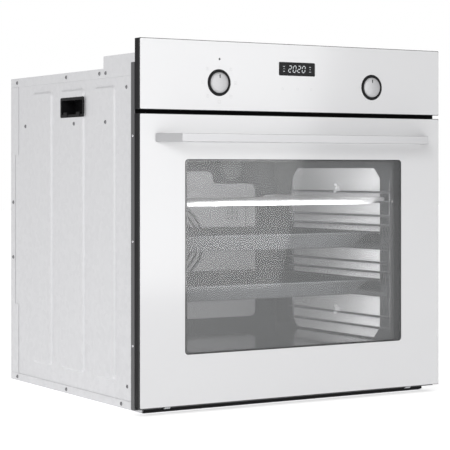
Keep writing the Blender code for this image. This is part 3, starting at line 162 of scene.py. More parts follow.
class OvenFinishes(bpy.types.PropertyGroup):
    white: colour("Fascia white", "Colour printed behind the front glass", (0.68, 0.68, 0.69))
    veil: colour("Window tint", "Colour of the window glass", (0.27, 0.274, 0.278))
    veil_weight: FloatProperty(name="Window opacity", description="How much the window hides",
                               default=0.20, min=0, max=1)
    sheet: colour("Casing sheet", "Colour of the coated steel casing", (0.68, 0.68, 0.695))
    flange: colour("Flange paint", "Colour of the front frame", (0.082, 0.082, 0.086))
    enamel: colour("Cavity enamel", "Colour of the enamel inside", (0.035, 0.036, 0.038))
    # Lighter than the real coating: painted light on the liner panels, standing in for light that
    # does not reach them
    coating: colour("Liner coating with painted light", "Colour of the rough liner panels", (0.82, 0.82, 0.83))
    metal: colour("Bright metal", "Colour of the knobs", (0.46, 0.46, 0.47))


class OvenSizes(bpy.types.PropertyGroup):
    print_depth: length("Print depth", "Thickness of the white layer", 0.8 * MM)
    window_radius: length("Window corner", "Corner radius of the window", 5 * MM)
    window_half: length("Window half width", "From the middle to the window's edge", 214.5 * MM)
    window_low: length("Window bottom", "Height of the window's lower edge", 93.0 * MM)
    window_high: length("Window top", "Height of the window's upper edge", 403.2 * MM)
    inner_lap: length("Inner border", "How far the inner black border shows", 9.5 * MM)
    field_radius: length("Field corner", "Corner radius of the pressed side fields", 11 * MM)
    field_slope: length("Field slope", "Width of the slope round a pressed field", 4.5 * MM)
    screw_radius: length("Screw head", "Radius of a casing screw's head", 3.3 * MM)
    symbol_radius: length("Symbol circle", "Radius of the ring of symbols", 31 * MM)
    digit_height: length("Digit height", "Height of the clock's digits", 10.5 * MM)


class OvenStudio(bpy.types.PropertyGroup):
    lens: FloatProperty(name="Lens", description="Focal length in mm", default=131.3)
    turn: FloatProperty(name="Turn", description="Camera heading", subtype="ANGLE",
                        default=math.radians(31.24))
    shift: FloatProperty(name="Shift", description="Vertical shift of the view", default=-0.123)
    place: FloatVectorProperty(name="Camera", description="Where the camera stands", size=3,
                               subtype="TRANSLATION", default=(-1.5167, -2.2968, 0.3873))
    key_power: FloatProperty(name="Key power", description="Power of the large softbox",
                             default=42.0)
    sky: FloatProperty(name="Surround", description="Brightness of the surroundings", default=0.55)


# Outlines

def arc_points(centre, radius, first, last, steps):
    return [(centre[0] + radius * math.cos(first + (last - first) * i / steps),
             centre[1] + radius * math.sin(first + (last - first) * i / steps))
            for i in range(steps + 1)]


def circle(centre, radius, sides=32):
    return arc_points(centre, radius, 0, 2 * math.pi, sides)[:-1]


def rounded_rect(u0, v0, u1, v1, radius, steps=5):
    quarter = math.pi / 2
    corners = ((u1 - radius, v0 + radius, -quarter), (u1 - radius, v1 - radius, 0),
               (u0 + radius, v1 - radius, quarter), (u0 + radius, v0 + radius, 2 * quarter))
    points = []
    for u, v, start in corners:
        points += arc_points((u, v), radius, start, start + quarter, steps)
    return points


def rounded_path(corners, radius, steps=4, closed=False):
    """A path whose corners are arcs of one radius."""
    corners = [Vector(c) for c in corners]
    points = []
    for i, corner in enumerate(corners):
        if not closed and i in (0, len(corners) - 1):
            points.append(corner)
            continue
        back = (corners[i - 1] - corner).normalized()
        ahead = (corners[(i + 1) % len(corners)] - corner).normalized()
        half = back.angle(ahead) / 2
        centre = corner + (back + ahead).normalized() * (radius / math.sin(half))
        first = corner + back * (radius / math.tan(half)) - centre
        last = corner + ahead * (radius / math.tan(half)) - centre
        points += [centre + first.slerp(last, s / steps).normalized() * first.length
                   for s in range(steps + 1)]
    return points


def rounded_outline(corners, radius, steps=4):
    path = rounded_path([(u, v, 0) for u, v in corners], radius, steps, closed=True)
    return [(p.x, p.y) for p in path]


def ring_slot(centre, inner, outer, first, last, steps=10):
    return (arc_points(centre, outer, first, last, steps)
            + arc_points(centre, inner, last, first, steps))


# Meshes

def link(name, mesh):
    obj = bpy.data.objects.new(name, mesh)
    bpy.context.scene.collection.objects.link(obj)
    return obj


def from_bmesh(name, bm):
    mesh = bpy.data.meshes.new(name)
    bm.to_mesh(mesh)
    bm.free()
    return link(name, mesh)


def settle(obj):
    """Turns an object with modifiers, or a curve, into a plain mesh of the same name."""
    bpy.context.view_layer.update()
    depsgraph = bpy.context.evaluated_depsgraph_get()
    mesh = bpy.data.meshes.new_from_object(obj.evaluated_get(depsgraph), depsgraph=depsgraph)
    name = obj.name
    bpy.data.objects.remove(obj)
    mesh.name = name
    return link(name, mesh)


def smooth(obj, angle=35):
    obj.data.shade_smooth()
    obj.data.set_sharp_from_angle(angle=math.radians(angle))
    return obj


def tidy_normals(obj):
    """Merges doubled points and turns every face of a closed shape outwards."""
    bm = bmesh.new()
    bm.from_mesh(obj.data)
    bmesh.ops.remove_doubles(bm, verts=bm.verts, dist=HAIR / 50)
    bmesh.ops.recalc_face_normals(bm, faces=bm.faces)
    bm.to_mesh(obj.data)
    bm.free()
    return obj


def filled_curve(name, outlines):
    """A flat filled curve: its first outline is the rim, the others are holes."""
    curve = bpy.data.curves.new(name, "CURVE")
    curve.dimensions = "2D"
    curve.fill_mode = "BOTH"
    for outline in outlines:
        spline = curve.splines.new("POLY")
        spline.points.add(len(outline) - 1)
        for slot, (u, v) in zip(spline.points, outline):
            slot.co = (u, v, 0, 1)
        spline.use_cyclic_u = True
    return curve


def slab(name, outlines, low, high, plane, soften=0.0):
    """A flat piece between two depths, with rounded edges."""
    curve = filled_curve(name, outlines)
    curve.extrude = (high - low) / 2 - soften
    curve.bevel_depth = soften
    curve.bevel_resolution = 1
    curve.offset = -soften
    obj = settle(link(name, curve))
    depth = -(low + high) / 2 if plane is FRONT else (low + high) / 2
    obj.data.transform(plane @ Matrix.Translation((0, 0, depth)))
    return smooth(tidy_normals(obj))


def turned(name, profile, place, sides=48, toward=(0, -1, 0)):
    """A solid of revolution from (radius, height) points; heights run along toward."""
    bm = bmesh.new()
    line = [bm.verts.new((r, 0, h)) for r, h in profile]
    edges = [bm.edges.new(pair) for pair in zip(line, line[1:])]
    bmesh.ops.spin(bm, geom=line + edges, cent=(0, 0, 0), axis=(0, 0, 1), dvec=(0, 0, 0),
                   angle=2 * math.pi, steps=sides)
    bmesh.ops.remove_doubles(bm, verts=bm.verts, dist=HAIR / 20)
    bmesh.ops.recalc_face_normals(bm, faces=bm.faces)
    turn = Vector(toward).to_track_quat("Z", "Y").to_matrix().to_4x4()
    bmesh.ops.transform(bm, matrix=Matrix.Translation(place) @ turn, verts=bm.verts)
    return smooth(from_bmesh(name, bm))


def block(name, low, high, soften, segments=2):
    """A box with rounded edges."""
    bm = bmesh.new()
    size = [b - a for a, b in zip(low, high)]
    centre = [(a + b) / 2 for a, b in zip(low, high)]
    bmesh.ops.create_cube(bm, size=1, matrix=Matrix.Translation(centre)
                          @ Matrix.Diagonal((*size, 1)))
    bmesh.ops.bevel(bm, geom=bm.edges[:], offset=soften, segments=segments, profile=0.5,
                    affect="EDGES")
    return smooth(from_bmesh(name, bm))


def joined(name, objects):
    """One object from several, which are removed."""
    bm = bmesh.new()
    for obj in objects:
        bm.from_mesh(obj.data)
        bpy.data.objects.remove(obj)
    return from_bmesh(name, bm)


def lofted(name, loops, thickness, close_first=True):
    """A sheet through loops of equally many points, thickened away from its normals."""
    bm = bmesh.new()
    rings = [[bm.verts.new(point) for point in loop] for loop in loops]
    if close_first:
        bm.faces.new(rings[0])
    for inner, outer in zip(rings, rings[1:]):
        count = len(inner)
        for i in range(count):
            j = (i + 1) % count
            bm.faces.new((inner[j], inner[i], outer[i], outer[j]))
    obj = from_bmesh(name, bm)
    thicken(obj, thickness)
    return smooth(settle(obj))


def thicken(obj, thickness, offset=-1):
    modifier = obj.modifiers.new("sheet", "SOLIDIFY")
    modifier.thickness = thickness
    modifier.offset = offset
    modifier.use_even_offset = True


def refined(node, soften, name=None):
    """A frame node's shape with its flat faces whole and its edges rounded."""
    obj = link(name or node.replace("_", "-"), frame["nodes"][node].data.copy())
    obj.data.materials.clear()
    bm = bmesh.new()
    bm.from_mesh(obj.data)
    bmesh.ops.remove_doubles(bm, verts=bm.verts, dist=HAIR / 10)
    bmesh.ops.dissolve_limit(bm, angle_limit=math.radians(0.5), verts=bm.verts, edges=bm.edges)
    bm.to_mesh(obj.data)
    bm.free()
    if soften:
        bevel = obj.modifiers.new("edges", "BEVEL")
        bevel.width = soften
        bevel.segments = 2
        bevel.limit_method = "ANGLE"
        bevel.angle_limit = math.radians(35)
        bevel.use_clamp_overlap = True
        obj = settle(obj)
    return smooth(obj)


def place(obj, body, slot, material, *nodes):
    """Gives a finished piece its shading, its material and its place in the frame."""
    obj.modifiers.new("shading", "WEIGHTED_NORMAL").keep_sharp = True
    obj = settle(obj)
    obj.data.materials.clear()
    obj.data.materials.append(finish(material))
    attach(obj, body)
    if nodes:
        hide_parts(*nodes)
    return obj


# Geometry node trees

def new_tree(name, inputs):
    tree = bpy.data.node_groups.new(name, "GeometryNodeTree")
    tree.interface.new_socket("Geometry", in_out="INPUT", socket_type="NodeSocketGeometry")
    for label, kind in inputs:
        tree.interface.new_socket(label, in_out="INPUT", socket_type=f"NodeSocket{kind}")
    tree.interface.new_socket("Geometry", in_out="OUTPUT", socket_type="NodeSocketGeometry")
    return tree, tree.nodes.new("NodeGroupInput"), tree.nodes.new("NodeGroupOutput")


def connect(tree, *pairs):
    """Links each (node, its output) to the (node, its input) that follows it."""
    for (source, output), (sink, slot) in pairs:
        tree.links.new(source.outputs[output], sink.inputs[slot])


def end_tree(tree, source, sink, made, output):
    """Real geometry, smooth shading and a material, which every tree ends in."""
    shade = tree.nodes.new("GeometryNodeSetShadeSmooth")
    real = tree.nodes.new("GeometryNodeRealizeInstances")
    paint = tree.nodes.new("GeometryNodeSetMaterial")
    connect(tree, ((made, output), (real, "Geometry")),
            ((real, "Geometry"), (shade, "Geometry")),
            ((shade, "Geometry"), (paint, "Geometry")),
            ((source, "Material"), (paint, "Material")),
            ((paint, "Geometry"), (sink, "Geometry")))


def wire_tree():
    """Round wires along the edges of a mesh."""
    tree, source, sink = new_tree("Wires", (("Radius", "Float"), ("Sides", "Int"),
                                            ("Material", "Material")))
    path = tree.nodes.new("GeometryNodeMeshToCurve")
    ring = tree.nodes.new("GeometryNodeCurvePrimitiveCircle")
    sweep = tree.nodes.new("GeometryNodeCurveToMesh")
    sweep.inputs["Fill Caps"].default_value = True
    connect(tree, ((source, "Geometry"), (path, "Mesh")),
            ((source, "Sides"), (ring, "Resolution")),
            ((source, "Radius"), (ring, "Radius")),
            ((path, "Curve"), (sweep, "Curve")),
            ((ring, "Curve"), (sweep, "Profile Curve")))
    end_tree(tree, source, sink, sweep, "Mesh")
    return tree


def scatter_tree():
    """Copies of one shape at the points of a mesh, turned by each point's turn."""
    tree, source, sink = new_tree("Repeated shape", (("Shape", "Object"),
                                                     ("Material", "Material")))
    shape = tree.nodes.new("GeometryNodeObjectInfo")
    turn = tree.nodes.new("GeometryNodeInputNamedAttribute")
    turn.data_type = "FLOAT_VECTOR"
    turn.inputs["Name"].default_value = "turn"
    rotation = tree.nodes.new("FunctionNodeEulerToRotation")
    copies = tree.nodes.new("GeometryNodeInstanceOnPoints")
    connect(tree, ((source, "Shape"), (shape, "Object")),
            ((turn, "Attribute"), (rotation, "Euler")),
            ((source, "Geometry"), (copies, "Points")),
            ((shape, "Geometry"), (copies, "Instance")),
            ((rotation, "Rotation"), (copies, "Rotation")))
    end_tree(tree, source, sink, copies, "Instances")
    return tree


def run_tree(name, mesh, maker, values):
    """Runs a tree on a mesh and keeps the result as a plain mesh."""
    tree = bpy.data.node_groups.get(maker.__name__) or maker()
    tree.name = maker.__name__
    obj = link(name, mesh)
    modifier = obj.modifiers.new("shape", "NODES")
    modifier.node_group = tree
    sockets = {item.name: item.identifier for item in tree.interface.items_tree
               if item.in_out == "INPUT"}
    for label, value in values.items():
        modifier[sockets[label]] = value
    return settle(obj)


def wires(name, paths, radius, material, sides=12):
    """Wires along several paths; a path that ends where it starts is a loop."""
    mesh = bpy.data.meshes.new(name)
    points, edges = [], []
    for path, closed in paths:
        start = len(points)
        points += [tuple(p) for p in path]
        edges += [(i, i + 1) for i in range(start, len(points) - 1)]
        if closed:
            edges.append((len(points) - 1, start))
    mesh.from_pydata(points, edges, [])
    obj = run_tree(name, mesh, wire_tree,
                   {"Radius": radius, "Sides": sides, "Material": finish(material)})
    return smooth(tidy_normals(obj), 50)


def scattered(name, shape, spots, material):
    """Copies of a shape at (place, turn) spots. The shape itself is removed."""
    mesh = bpy.data.meshes.new(name)
    mesh.from_pydata([tuple(at) for at, _ in spots], [], [])
    turns = mesh.attributes.new("turn", "FLOAT_VECTOR", "POINT")
    for item, (_, turn) in zip(turns.data, spots):
        item.vector = turn
    obj = run_tree(name, mesh, scatter_tree, {"Shape": shape, "Material": finish(material)})
    bpy.data.objects.remove(shape)
    return smooth(obj)


# Shader groups, each built once and shared by the finishes

def shader_group(name, inputs, outputs):
    tree = bpy.data.node_groups.new(name, "ShaderNodeTree")
    for label, kind, value in inputs:
        socket = tree.interface.new_socket(label, in_out="INPUT", socket_type=f"NodeSocket{kind}")
        socket.default_value = value
    for label, kind in outputs:
        tree.interface.new_socket(label, in_out="OUTPUT", socket_type=f"NodeSocket{kind}")
    return tree, tree.nodes.new("NodeGroupInput"), tree.nodes.new("NodeGroupOutput")


def node(tree, kind, links=(), **values):
    """Adds a node, sets its properties and inputs, and links inputs given as (input, socket)."""
    made = tree.nodes.new(kind)
    for key, value in values.items():
        if hasattr(made, key):
            setattr(made, key, value)
        else:
            made.inputs[key.replace("_", " ").title()].default_value = value
    for place_in, source in links:
        tree.links.new(source, made.inputs[place_in])
    return made


def noise(tree, scale, detail, vector=None):
    """Noise on object coordinates; scale is a socket or a number."""
    vector = vector or node(tree, "ShaderNodeTexCoord").outputs["Object"]
    links = [("Vector", vector)]
    texture = node(tree, "ShaderNodeTexNoise", links, detail=detail)
    if isinstance(scale, (int, float)):
        texture.inputs["Scale"].default_value = scale
    else:
        tree.links.new(scale, texture.inputs["Scale"])
    return texture.outputs["Fac"]


def shifted(tree, base, spread, amount):
    """base + (amount - 0.5) * spread."""
    centred = node(tree, "ShaderNodeMath", [(0, amount)], operation="SUBTRACT")
    centred.inputs[1].default_value = 0.5
    return node(tree, "ShaderNodeMath", [(0, centred.outputs[0]), (1, spread), (2, base)],
                operation="MULTIPLY_ADD").outputs[0]


def toned(tree, tint, tone, amount):
    """A colour darkened by up to tone where amount is high."""
    share = node(tree, "ShaderNodeMath", [(0, amount), (1, tone)], operation="MULTIPLY")
    mix = node(tree, "ShaderNodeMix", [("Factor", share.outputs[0]), (6, tint)],
               data_type="RGBA", blend_type="MIX")
    mix.inputs[7].default_value = (0, 0, 0, 1)
    return mix.outputs[2]


SURFACE_INPUTS = (("Colour", "Color", (0.8, 0.8, 0.8, 1)), ("Tone", "Float", 0.05),
                  ("Scale", "Float", 400), ("Roughness", "Float", 0.3), ("Spread", "Float", 0.1))
SURFACE_OUTPUTS = (("Colour", "Color"), ("Roughness", "Float"), ("Height", "Float"))


def end_surface(tree, source, sink, dark, gloss, height):
    """Tone by dark, roughness by gloss and relief by height, which every surface ends in."""
    given = source.outputs
    made = (("Colour", toned(tree, given["Colour"], given["Tone"], dark)),
            ("Roughness", shifted(tree, given["Roughness"], given["Spread"], gloss)),
            ("Height", height))
    for label, socket in made:
        tree.links.new(socket, sink.inputs[label])
    return tree


def cells_of(tree, source):
    """Voronoi cells on object coordinates, at the surface's own scale."""
    where = node(tree, "ShaderNodeTexCoord").outputs["Object"]
    return node(tree, "ShaderNodeTexVoronoi", [("Vector", where),
                                               ("Scale", source.outputs["Scale"])])


def grain_group():
    """Fine grain in the surface over slow changes of tone and gloss."""
    tree, source, sink = shader_group("Grain", SURFACE_INPUTS, SURFACE_OUTPUTS)
    fine = noise(tree, source.outputs["Scale"], 3)
    slow = noise(tree, 9, 2)
    return end_surface(tree, source, sink, slow, slow, fine)


def brushed_group():
    """Hair lines that run along X."""
    tree, source, sink = shader_group("Brushed", SURFACE_INPUTS, SURFACE_OUTPUTS)
    where = node(tree, "ShaderNodeTexCoord").outputs["Object"]
    flat = node(tree, "ShaderNodeMapping", [("Vector", where)])
    flat.inputs["Scale"].default_value = (0.02, 1, 1)
    lines = noise(tree, source.outputs["Scale"], 4, flat.outputs["Vector"])
    return end_surface(tree, source, sink, lines, lines, lines)


def spangle_group():
    """Crystals of a zinc coat, each with its own tone and gloss."""
    tree, source, sink = shader_group("Spangle", SURFACE_INPUTS, SURFACE_OUTPUTS)
    cells = cells_of(tree, source)
    value = node(tree, "ShaderNodeSeparateColor", [("Color", cells.outputs["Color"])]).outputs[0]
    return end_surface(tree, source, sink, value, value, noise(tree, 900, 2))


def speckle_group():
    """Small light and dark flecks fired into an enamel."""
    tree, source, sink = shader_group("Speckle", SURFACE_INPUTS, SURFACE_OUTPUTS)
    cells = cells_of(tree, source)
    fleck = node(tree, "ShaderNodeMapRange", [("Value", cells.outputs["Distance"])])
    fleck.inputs["From Min"].default_value = 0.12
    fleck.inputs["From Max"].default_value = 0.22
    return end_surface(tree, source, sink, fleck.outputs["Result"], noise(tree, 14, 3),
                       noise(tree, 60, 3))


# Finishes: group, its values, bump in metres, and the shader's constant sockets

def finish_table():
    look = bpy.context.scene.oven_finishes
    white, sheet, metal = tuple(look.white), tuple(look.sheet), tuple(look.metal)
    black = (0.009, 0.009, 0.010)
    glassy = {"Coat Weight": 1.0, "Coat Roughness": 0.02}
    return {
        "white print": (grain_group, (white, 0.02, 60, 0.12, 0.02), 0, {"Specular IOR Level": 0.5}),
        "glass edge": (grain_group, ((0.022, 0.023, 0.024), 0.1, 60, 0.15, 0.02), 0,
                       {"Specular IOR Level": 0.15}),
        "window glass": (grain_group, (tuple(look.veil), 0.02, 50, 0.03, 0.01), 0,
                         {"Alpha": look.veil_weight}),
        "clear pane": (grain_group, ((0.30, 0.305, 0.31), 0.02, 50, 0.05, 0.01), 0,
                       {"Alpha": 0.22}),
        "black border": (grain_group, ((0.03, 0.03, 0.032), 0.1, 60, 0.08, 0.02), 0, glassy),
        "display glass": (grain_group, ((0.004, 0.004, 0.005), 0.1, 60, 0.05, 0.01), 0,
                          {"Specular IOR Level": 0.08}),
        # Painted shade: near-black for the film that darkens the gap under the control panel
        "gap black": (grain_group, ((0.004, 0.004, 0.004), 0.1, 900, 0.7, 0.1), 0,
                      {"Specular IOR Level": 0.05}),
        "lit digits": (grain_group, ((0.5, 0.52, 0.53), 0.1, 900, 0.5, 0.1), 0,
                       {"Emission Color": (0.85, 0.90, 0.95, 1), "Emission Strength": 0.3}),
        "faint mark": (grain_group, (tuple(c * 0.84 for c in white), 0.1, 900, 0.2, 0.1), 0, {}),
        "indicator": (grain_group, ((0.06, 0.06, 0.065), 0.1, 900, 0.2, 0.1), 0, {}),
        "flange paint": (grain_group, (tuple(look.flange), 0.2, 1500, 0.38, 0.1), 0.00006, {}),
        "casing sheet": (spangle_group, (sheet, 0.035, 130, 0.42, 0.12), 0.00002,
                         {"Metallic": 0.15}),
        "zinc plate": (spangle_group, ((0.62, 0.63, 0.65), 0.18, 160, 0.36, 0.16), 0.00003,
                       {"Metallic": 0.85}),
        "black plastic": (grain_group, (black, 0.2, 2400, 0.5, 0.1), 0.00008,
                          {"Specular IOR Level": 0.12}),
        "cavity enamel": (speckle_group, (tuple(look.enamel), 0.35, 700, 0.12, 0.03), 0,
                          {"Coat Weight": 0.2, "Coat Roughness": 0.05}),
        "tray enamel": (speckle_group, ((0.038, 0.039, 0.041), 0.2, 900, 0.4, 0.05), 0,
                        {"Specular IOR Level": 0.3}),
        # One coating in two copies: the fan cover's copy is darkened as painted shade, and the wall
        # liners' copy is lightened as painted light
        "cover coating": (speckle_group, ((0.52, 0.52, 0.53), 0.10, 1400, 0.62, 0.1), 0.00003, {}),
        "liner coating": (speckle_group, (tuple(look.coating), 0.10, 1400, 0.62, 0.1), 0.00003, {}),
        "chrome": (grain_group, ((0.84, 0.84, 0.86), 0.1, 1200, 0.10, 0.06), 0.00001,
                   {"Metallic": 1.0}),
        # Painted sheen: chrome given as a near-white, barely metallic surface that stands in for its
        # bright reflections
        "bright wire": (grain_group, ((0.92, 0.92, 0.93), 0.1, 1200, 0.3, 0.06), 0.00001,
                        {"Metallic": 0.2}),
        "runner steel": (brushed_group, ((0.66, 0.66, 0.68), 0.15, 1600, 0.24, 0.1), 0.00002,
                         {"Metallic": 1.0}),
        "handle metal": (brushed_group, ((0.46, 0.46, 0.47), 0.06, 2600, 0.42, 0.10), 0.00001,
                         {"Metallic": 0.35}),
        "knob metal": (brushed_group, (metal, 0.30, 3000, 0.42, 0.16), 0.00003,
                       {"Metallic": 0.35}),
        "screw steel": (grain_group, ((0.70, 0.70, 0.72), 0.2, 1800, 0.25, 0.1), 0.00002,
                        {"Metallic": 1.0}),
        "screw zinc": (grain_group, ((0.22, 0.22, 0.23), 0.2, 1800, 0.45, 0.1), 0.00002,
                       {"Metallic": 0.4}),
        "heater sheath": (grain_group, ((0.10, 0.085, 0.075), 0.4, 900, 0.45, 0.2), 0.00004,
                          {"Metallic": 0.7}),
        "seal rubber": (grain_group, ((0.035, 0.035, 0.036), 0.3, 1500, 0.7, 0.1), 0.0001, {}),
        "mineral wool": (grain_group, ((0.70, 0.66, 0.52), 0.4, 220, 0.95, 0.05), 0.0015,
                         {"Sheen Weight": 0.4}),
        "lamp glass": (grain_group, ((0.30, 0.31, 0.31), 0.05, 300, 0.12, 0.05), 0.00005,
                       {"Alpha": 0.4}),
    }


def finish(name):
    """The material of that name, built when it is first asked for."""
    if name in bpy.data.materials:
        return bpy.data.materials[name]
    maker, values, bump, constants = finish_table()[name]
    material = bpy.data.materials.new(name)
    material.use_nodes = True
    tree = material.node_tree
    shader = tree.nodes["Principled BSDF"]
    surface = tree.nodes.new("ShaderNodeGroup")
    surface.node_tree = bpy.data.node_groups.get(maker.__name__) or maker()
    surface.node_tree.name = maker.__name__
    tint, tone, scale, roughness, spread = values
    for label, value in zip(("Colour", "Tone", "Scale", "Roughness", "Spread"),
                            ((*tint, 1), tone, scale, roughness, spread)):
        surface.inputs[label].default_value = value
    tree.links.new(surface.outputs["Colour"], shader.inputs["Base Color"])
    tree.links.new(surface.outputs["Roughness"], shader.inputs["Roughness"])
    if bump:
        relief = node(tree, "ShaderNodeBump", [("Height", surface.outputs["Height"])])
        relief.inputs["Distance"].default_value = bump
        tree.links.new(relief.outputs["Normal"], shader.inputs["Normal"])
    for label, value in constants.items():
        shader.inputs[label].default_value = value
    return material


# Sides and mirrored pieces

def mirrored(obj, sign):
    """A right-hand piece as it is, or turned into its left-hand twin when sign is -1."""
    if sign < 0:
        obj.data.transform(Matrix.Diagonal((-1, 1, 1, 1)))
        obj.data.flip_normals()
    return obj


def cut_out(obj, low, high):
    """Cuts a box out of a piece."""
    tool = block("cut", low, high, HAIR / 10, 1)
    modifier = obj.modifiers.new("cut", "BOOLEAN")
    modifier.operation = "DIFFERENCE"
    modifier.object = tool
    cut = settle(obj)
    bpy.data.objects.remove(tool)
    return smooth(cut)


def on_plane(outline, plane, depth):
    """The points of a flat outline in space, depth along the plane's own normal."""
    return [plane @ Vector((u, v, depth)) for u, v in outline]


def inset_rect(low, high, inset, radius, steps=5):
    """A rounded rectangle between two (u, v) corners, moved in by inset."""
    return rounded_rect(low[0] + inset, low[1] + inset, high[0] - inset, high[1] - inset,
                        max(radius - inset, radius / 4), steps)


def rise(step, steps):
    """A smooth climb from 0 to 1."""
    t = step / steps
    return t * t * (3 - 2 * t)


# Front

class OVEN_OT_door_glass(bpy.types.Operator):
    """Makes the door's white glass with its window, and the pane behind the window"""
    bl_idname = "oven.door_glass"
    bl_label = "Door glass"

    def execute(self, context):
        sizes = context.scene.oven_sizes
        low, high = span("door_outer_glass")
        half = sizes.window_half

        def window_hole(edge):
            return inset_rect((-half, sizes.window_low), (half, sizes.window_high), -edge,
                              sizes.window_radius)

        rim = ((low[0], low[2]), (high[0], high[2]))
        white, edge = printed_glass("door", rim, [window_hole], low[1], high[1],
                                    sizes.print_depth)
        place(white, "door", "white_glass", "white print", "door_outer_glass")
        place(edge, "door", "clear_glass", "glass edge", "door_outer_glass")
        pane = inset_rect((-half, sizes.window_low), (half, sizes.window_high), 3 * HAIR,
                          sizes.window_radius)
        window = slab("door-window", [pane], low[1] + HAIR, high[1], FRONT, HAIR)
        place(window, "door", "clear_glass", "window glass", "door_outer_glass")

        low, high = span("door_inner_glass")
        lap = sizes.inner_lap
        clear = ((-half + lap, sizes.window_low + MM), (half - lap, sizes.window_high - 3 * MM))
        rim = rounded_rect(low[0], low[2], high[0], high[2], 2 * MM)
        border = slab("inner-pane-border", [rim, inset_rect(*clear, 0, PANE_CORNER)], low[1], high[1],
                      FRONT, 0.3 * MM)
        place(border, "door", "clear_glass", "black border", "door_inner_glass")
        middle = slab("inner-pane", [inset_rect(*clear, HAIR, PANE_CORNER)], low[1] + MM,
                      high[1] - MM, FRONT)
        place(middle, "door", "clear_glass", "clear pane", "door_inner_glass")
        return {"FINISHED"}


def printed_glass(name, rim, holes, front, rear, print_depth):
    """Glass with a white print: the white face, and behind it the dark edge of the pane."""
    (u0, v0), (u1, v1) = rim
    radius, edge = GLASS_CORNER, PRINT_INSET
    face = slab(f"{name}-white-glass", [inset_rect((u0, v0), (u1, v1), edge, 2 * radius),
                                        *(hole(edge) for hole in holes)],
                front, front + print_depth, FRONT, HAIR)
    pane = slab(f"{name}-glass-edge", [rounded_rect(u0, v0, u1, v1, radius),
                                       *(hole(0) for hole in holes)],
                front + print_depth, rear, FRONT, 3 * HAIR)
    return face, pane


def handle_outline(low, high):
    """The handle seen from above: a flat bar whose ends slope back to the glass."""
    foot, base, reach = high[0], high[1], low[1]
    face, bar = foot - HANDLE_RUN, HANDLE_BAR
    outer = [(-foot, base), (-face, reach), (face, reach), (foot, base)]
    inner = [(foot - bar * FOOT_SHARE, base), (face - bar * BEND_SHARE, reach + bar)]
    inner += [(-u, v) for u, v in reversed(inner)]
    return rounded_outline(outer + inner, 1.2 * MM, 3)


class OVEN_OT_handle(bpy.types.Operator):
    """Makes the door's bar handle"""
    bl_idname = "oven.handle"
    bl_label = "Handle"

    def execute(self, context):
        low, high = span("door_handle")
        bar = slab("door-handle", [handle_outline(low, high)], low[2], high[2], PLAN, 0.9 * MM)
        place(bar, "door", "brushed_aluminium", "handle metal", "door_handle")
        return {"FINISHED"}


# Controls

SEGMENTS = {0: "abcdef", 2: "abged"}


def segment_outlines(digit, left, low, height):
    """The lit bars of a seven-segment digit, leaning a little to the right."""
    wide, bar, gap, lean = height * 0.52, height * 0.11, height * 0.03, 0.12
    half = height / 2
    spans = {"a": (0, height, wide, height), "g": (0, half, wide, half), "d": (0, 0, wide, 0),
             "f": (0, half, 0, height), "b": (wide, half, wide, height),
             "e": (0, 0, 0, half), "c": (wide, 0, wide, half)}
    outlines = []
    for name in SEGMENTS[digit]:
        u0, v0, u1, v1 = spans[name]
        if v0 == v1:
            box = (u0 + gap + bar / 2, v0 - bar / 2, u1 - gap - bar / 2, v1 + bar / 2)
        else:
            box = (u0 - bar / 2, v0 + gap + bar / 2, u1 + bar / 2, v1 - gap - bar / 2)
        corners = [(box[0], box[1]), (box[2], box[1]), (box[2], box[3]), (box[0], box[3])]
        outlines.append([(left + u + lean * v, low + v) for u, v in corners])
    return outlines


def bar_mark(u, v, wide, high):
    return [(u - wide / 2, v - high / 2), (u + wide / 2, v - high / 2),
            (u + wide / 2, v + high / 2), (u - wide / 2, v + high / 2)]


def display_outlines(low, high, digit_height):
    """Four digits of a clock and small marks at each side."""
    pitch, middle = digit_height * DIGIT_PITCH, (low[0] + high[0]) / 2
    base = (low[2] + high[2] - digit_height) / 2
    outlines = []
    for i, digit in enumerate((2, 0, 2, 0)):
        outlines += segment_outlines(digit, middle + (i - 2) * pitch + 0.8 * MM, base,
                                     digit_height)
    for sign in (-1, 1):
        for row in (-1, 0, 1):
            wide = 3.5 * MM if row else 2 * MM
            outlines.append(bar_mark(middle + sign * SIDE_MARK_REACH,
                                     base + digit_height / 2 + row * SIDE_MARK_STEP,
                                     wide, 0.7 * MM))
    return outlines


def symbol_outlines(centre, radius):
    """Plain cooking symbols round the left knob: boxes with lines, as on any such dial."""
    groups = []
    for i in range(8):
        turn = math.radians(90 - 45 * i)
        u, v = centre[0] + radius * math.cos(turn), centre[1] + radius * math.sin(turn)
        if i == 0:
            groups.append([bar_mark(u, v - 5 * MM, 0.6 * MM, 3 * MM)])
            continue
        rim, inner = 2.6 * MM, 2.25 * MM
        frame_marks = [rounded_rect(u - rim, v - rim, u + rim, v + rim, 0.5 * MM, 2),
                       rounded_rect(u - inner, v - inner, u + inner, v + inner, 0.3 * MM, 2)]
        groups.append(frame_marks)
        if i % 2:
            groups.append([bar_mark(u, v + 1.4 * MM, 3 * MM, 0.4 * MM)])
        if i % 3:
            groups.append([bar_mark(u, v - 1.4 * MM, 3 * MM, 0.4 * MM)])
        if i % 4:
            groups.append([circle((u, v), 0.7 * MM, 10)])
    return groups


def tick_outlines(centre, radius):
    """Short ticks round the temperature knob, one for each step."""
    groups = []
    for i in range(10):
        turn = math.radians(90 - 30 * i)
        inner, outer = radius - 6 * MM, radius - 4 * MM
        across = Vector((-math.sin(turn), math.cos(turn))) * 0.25 * MM
        along = Vector((math.cos(turn), math.sin(turn)))
        mid = Vector(centre)
        groups.append([[tuple(mid + along * inner - across), tuple(mid + along * outer - across),
                        tuple(mid + along * outer + across), tuple(mid + along * inner + across)]])
    return groups


def round_hole(centre, radius, edge):
    return circle(centre, radius + edge, 48)


def printed(name, groups, front):
    """Thin ink on the glass, one film for each group of outlines."""
    films = [slab(f"{name}-{i}", group, front - HAIR / 4, front + HAIR / 4, FRONT)
             for i, group in enumerate(groups)]
    return joined(name, films)


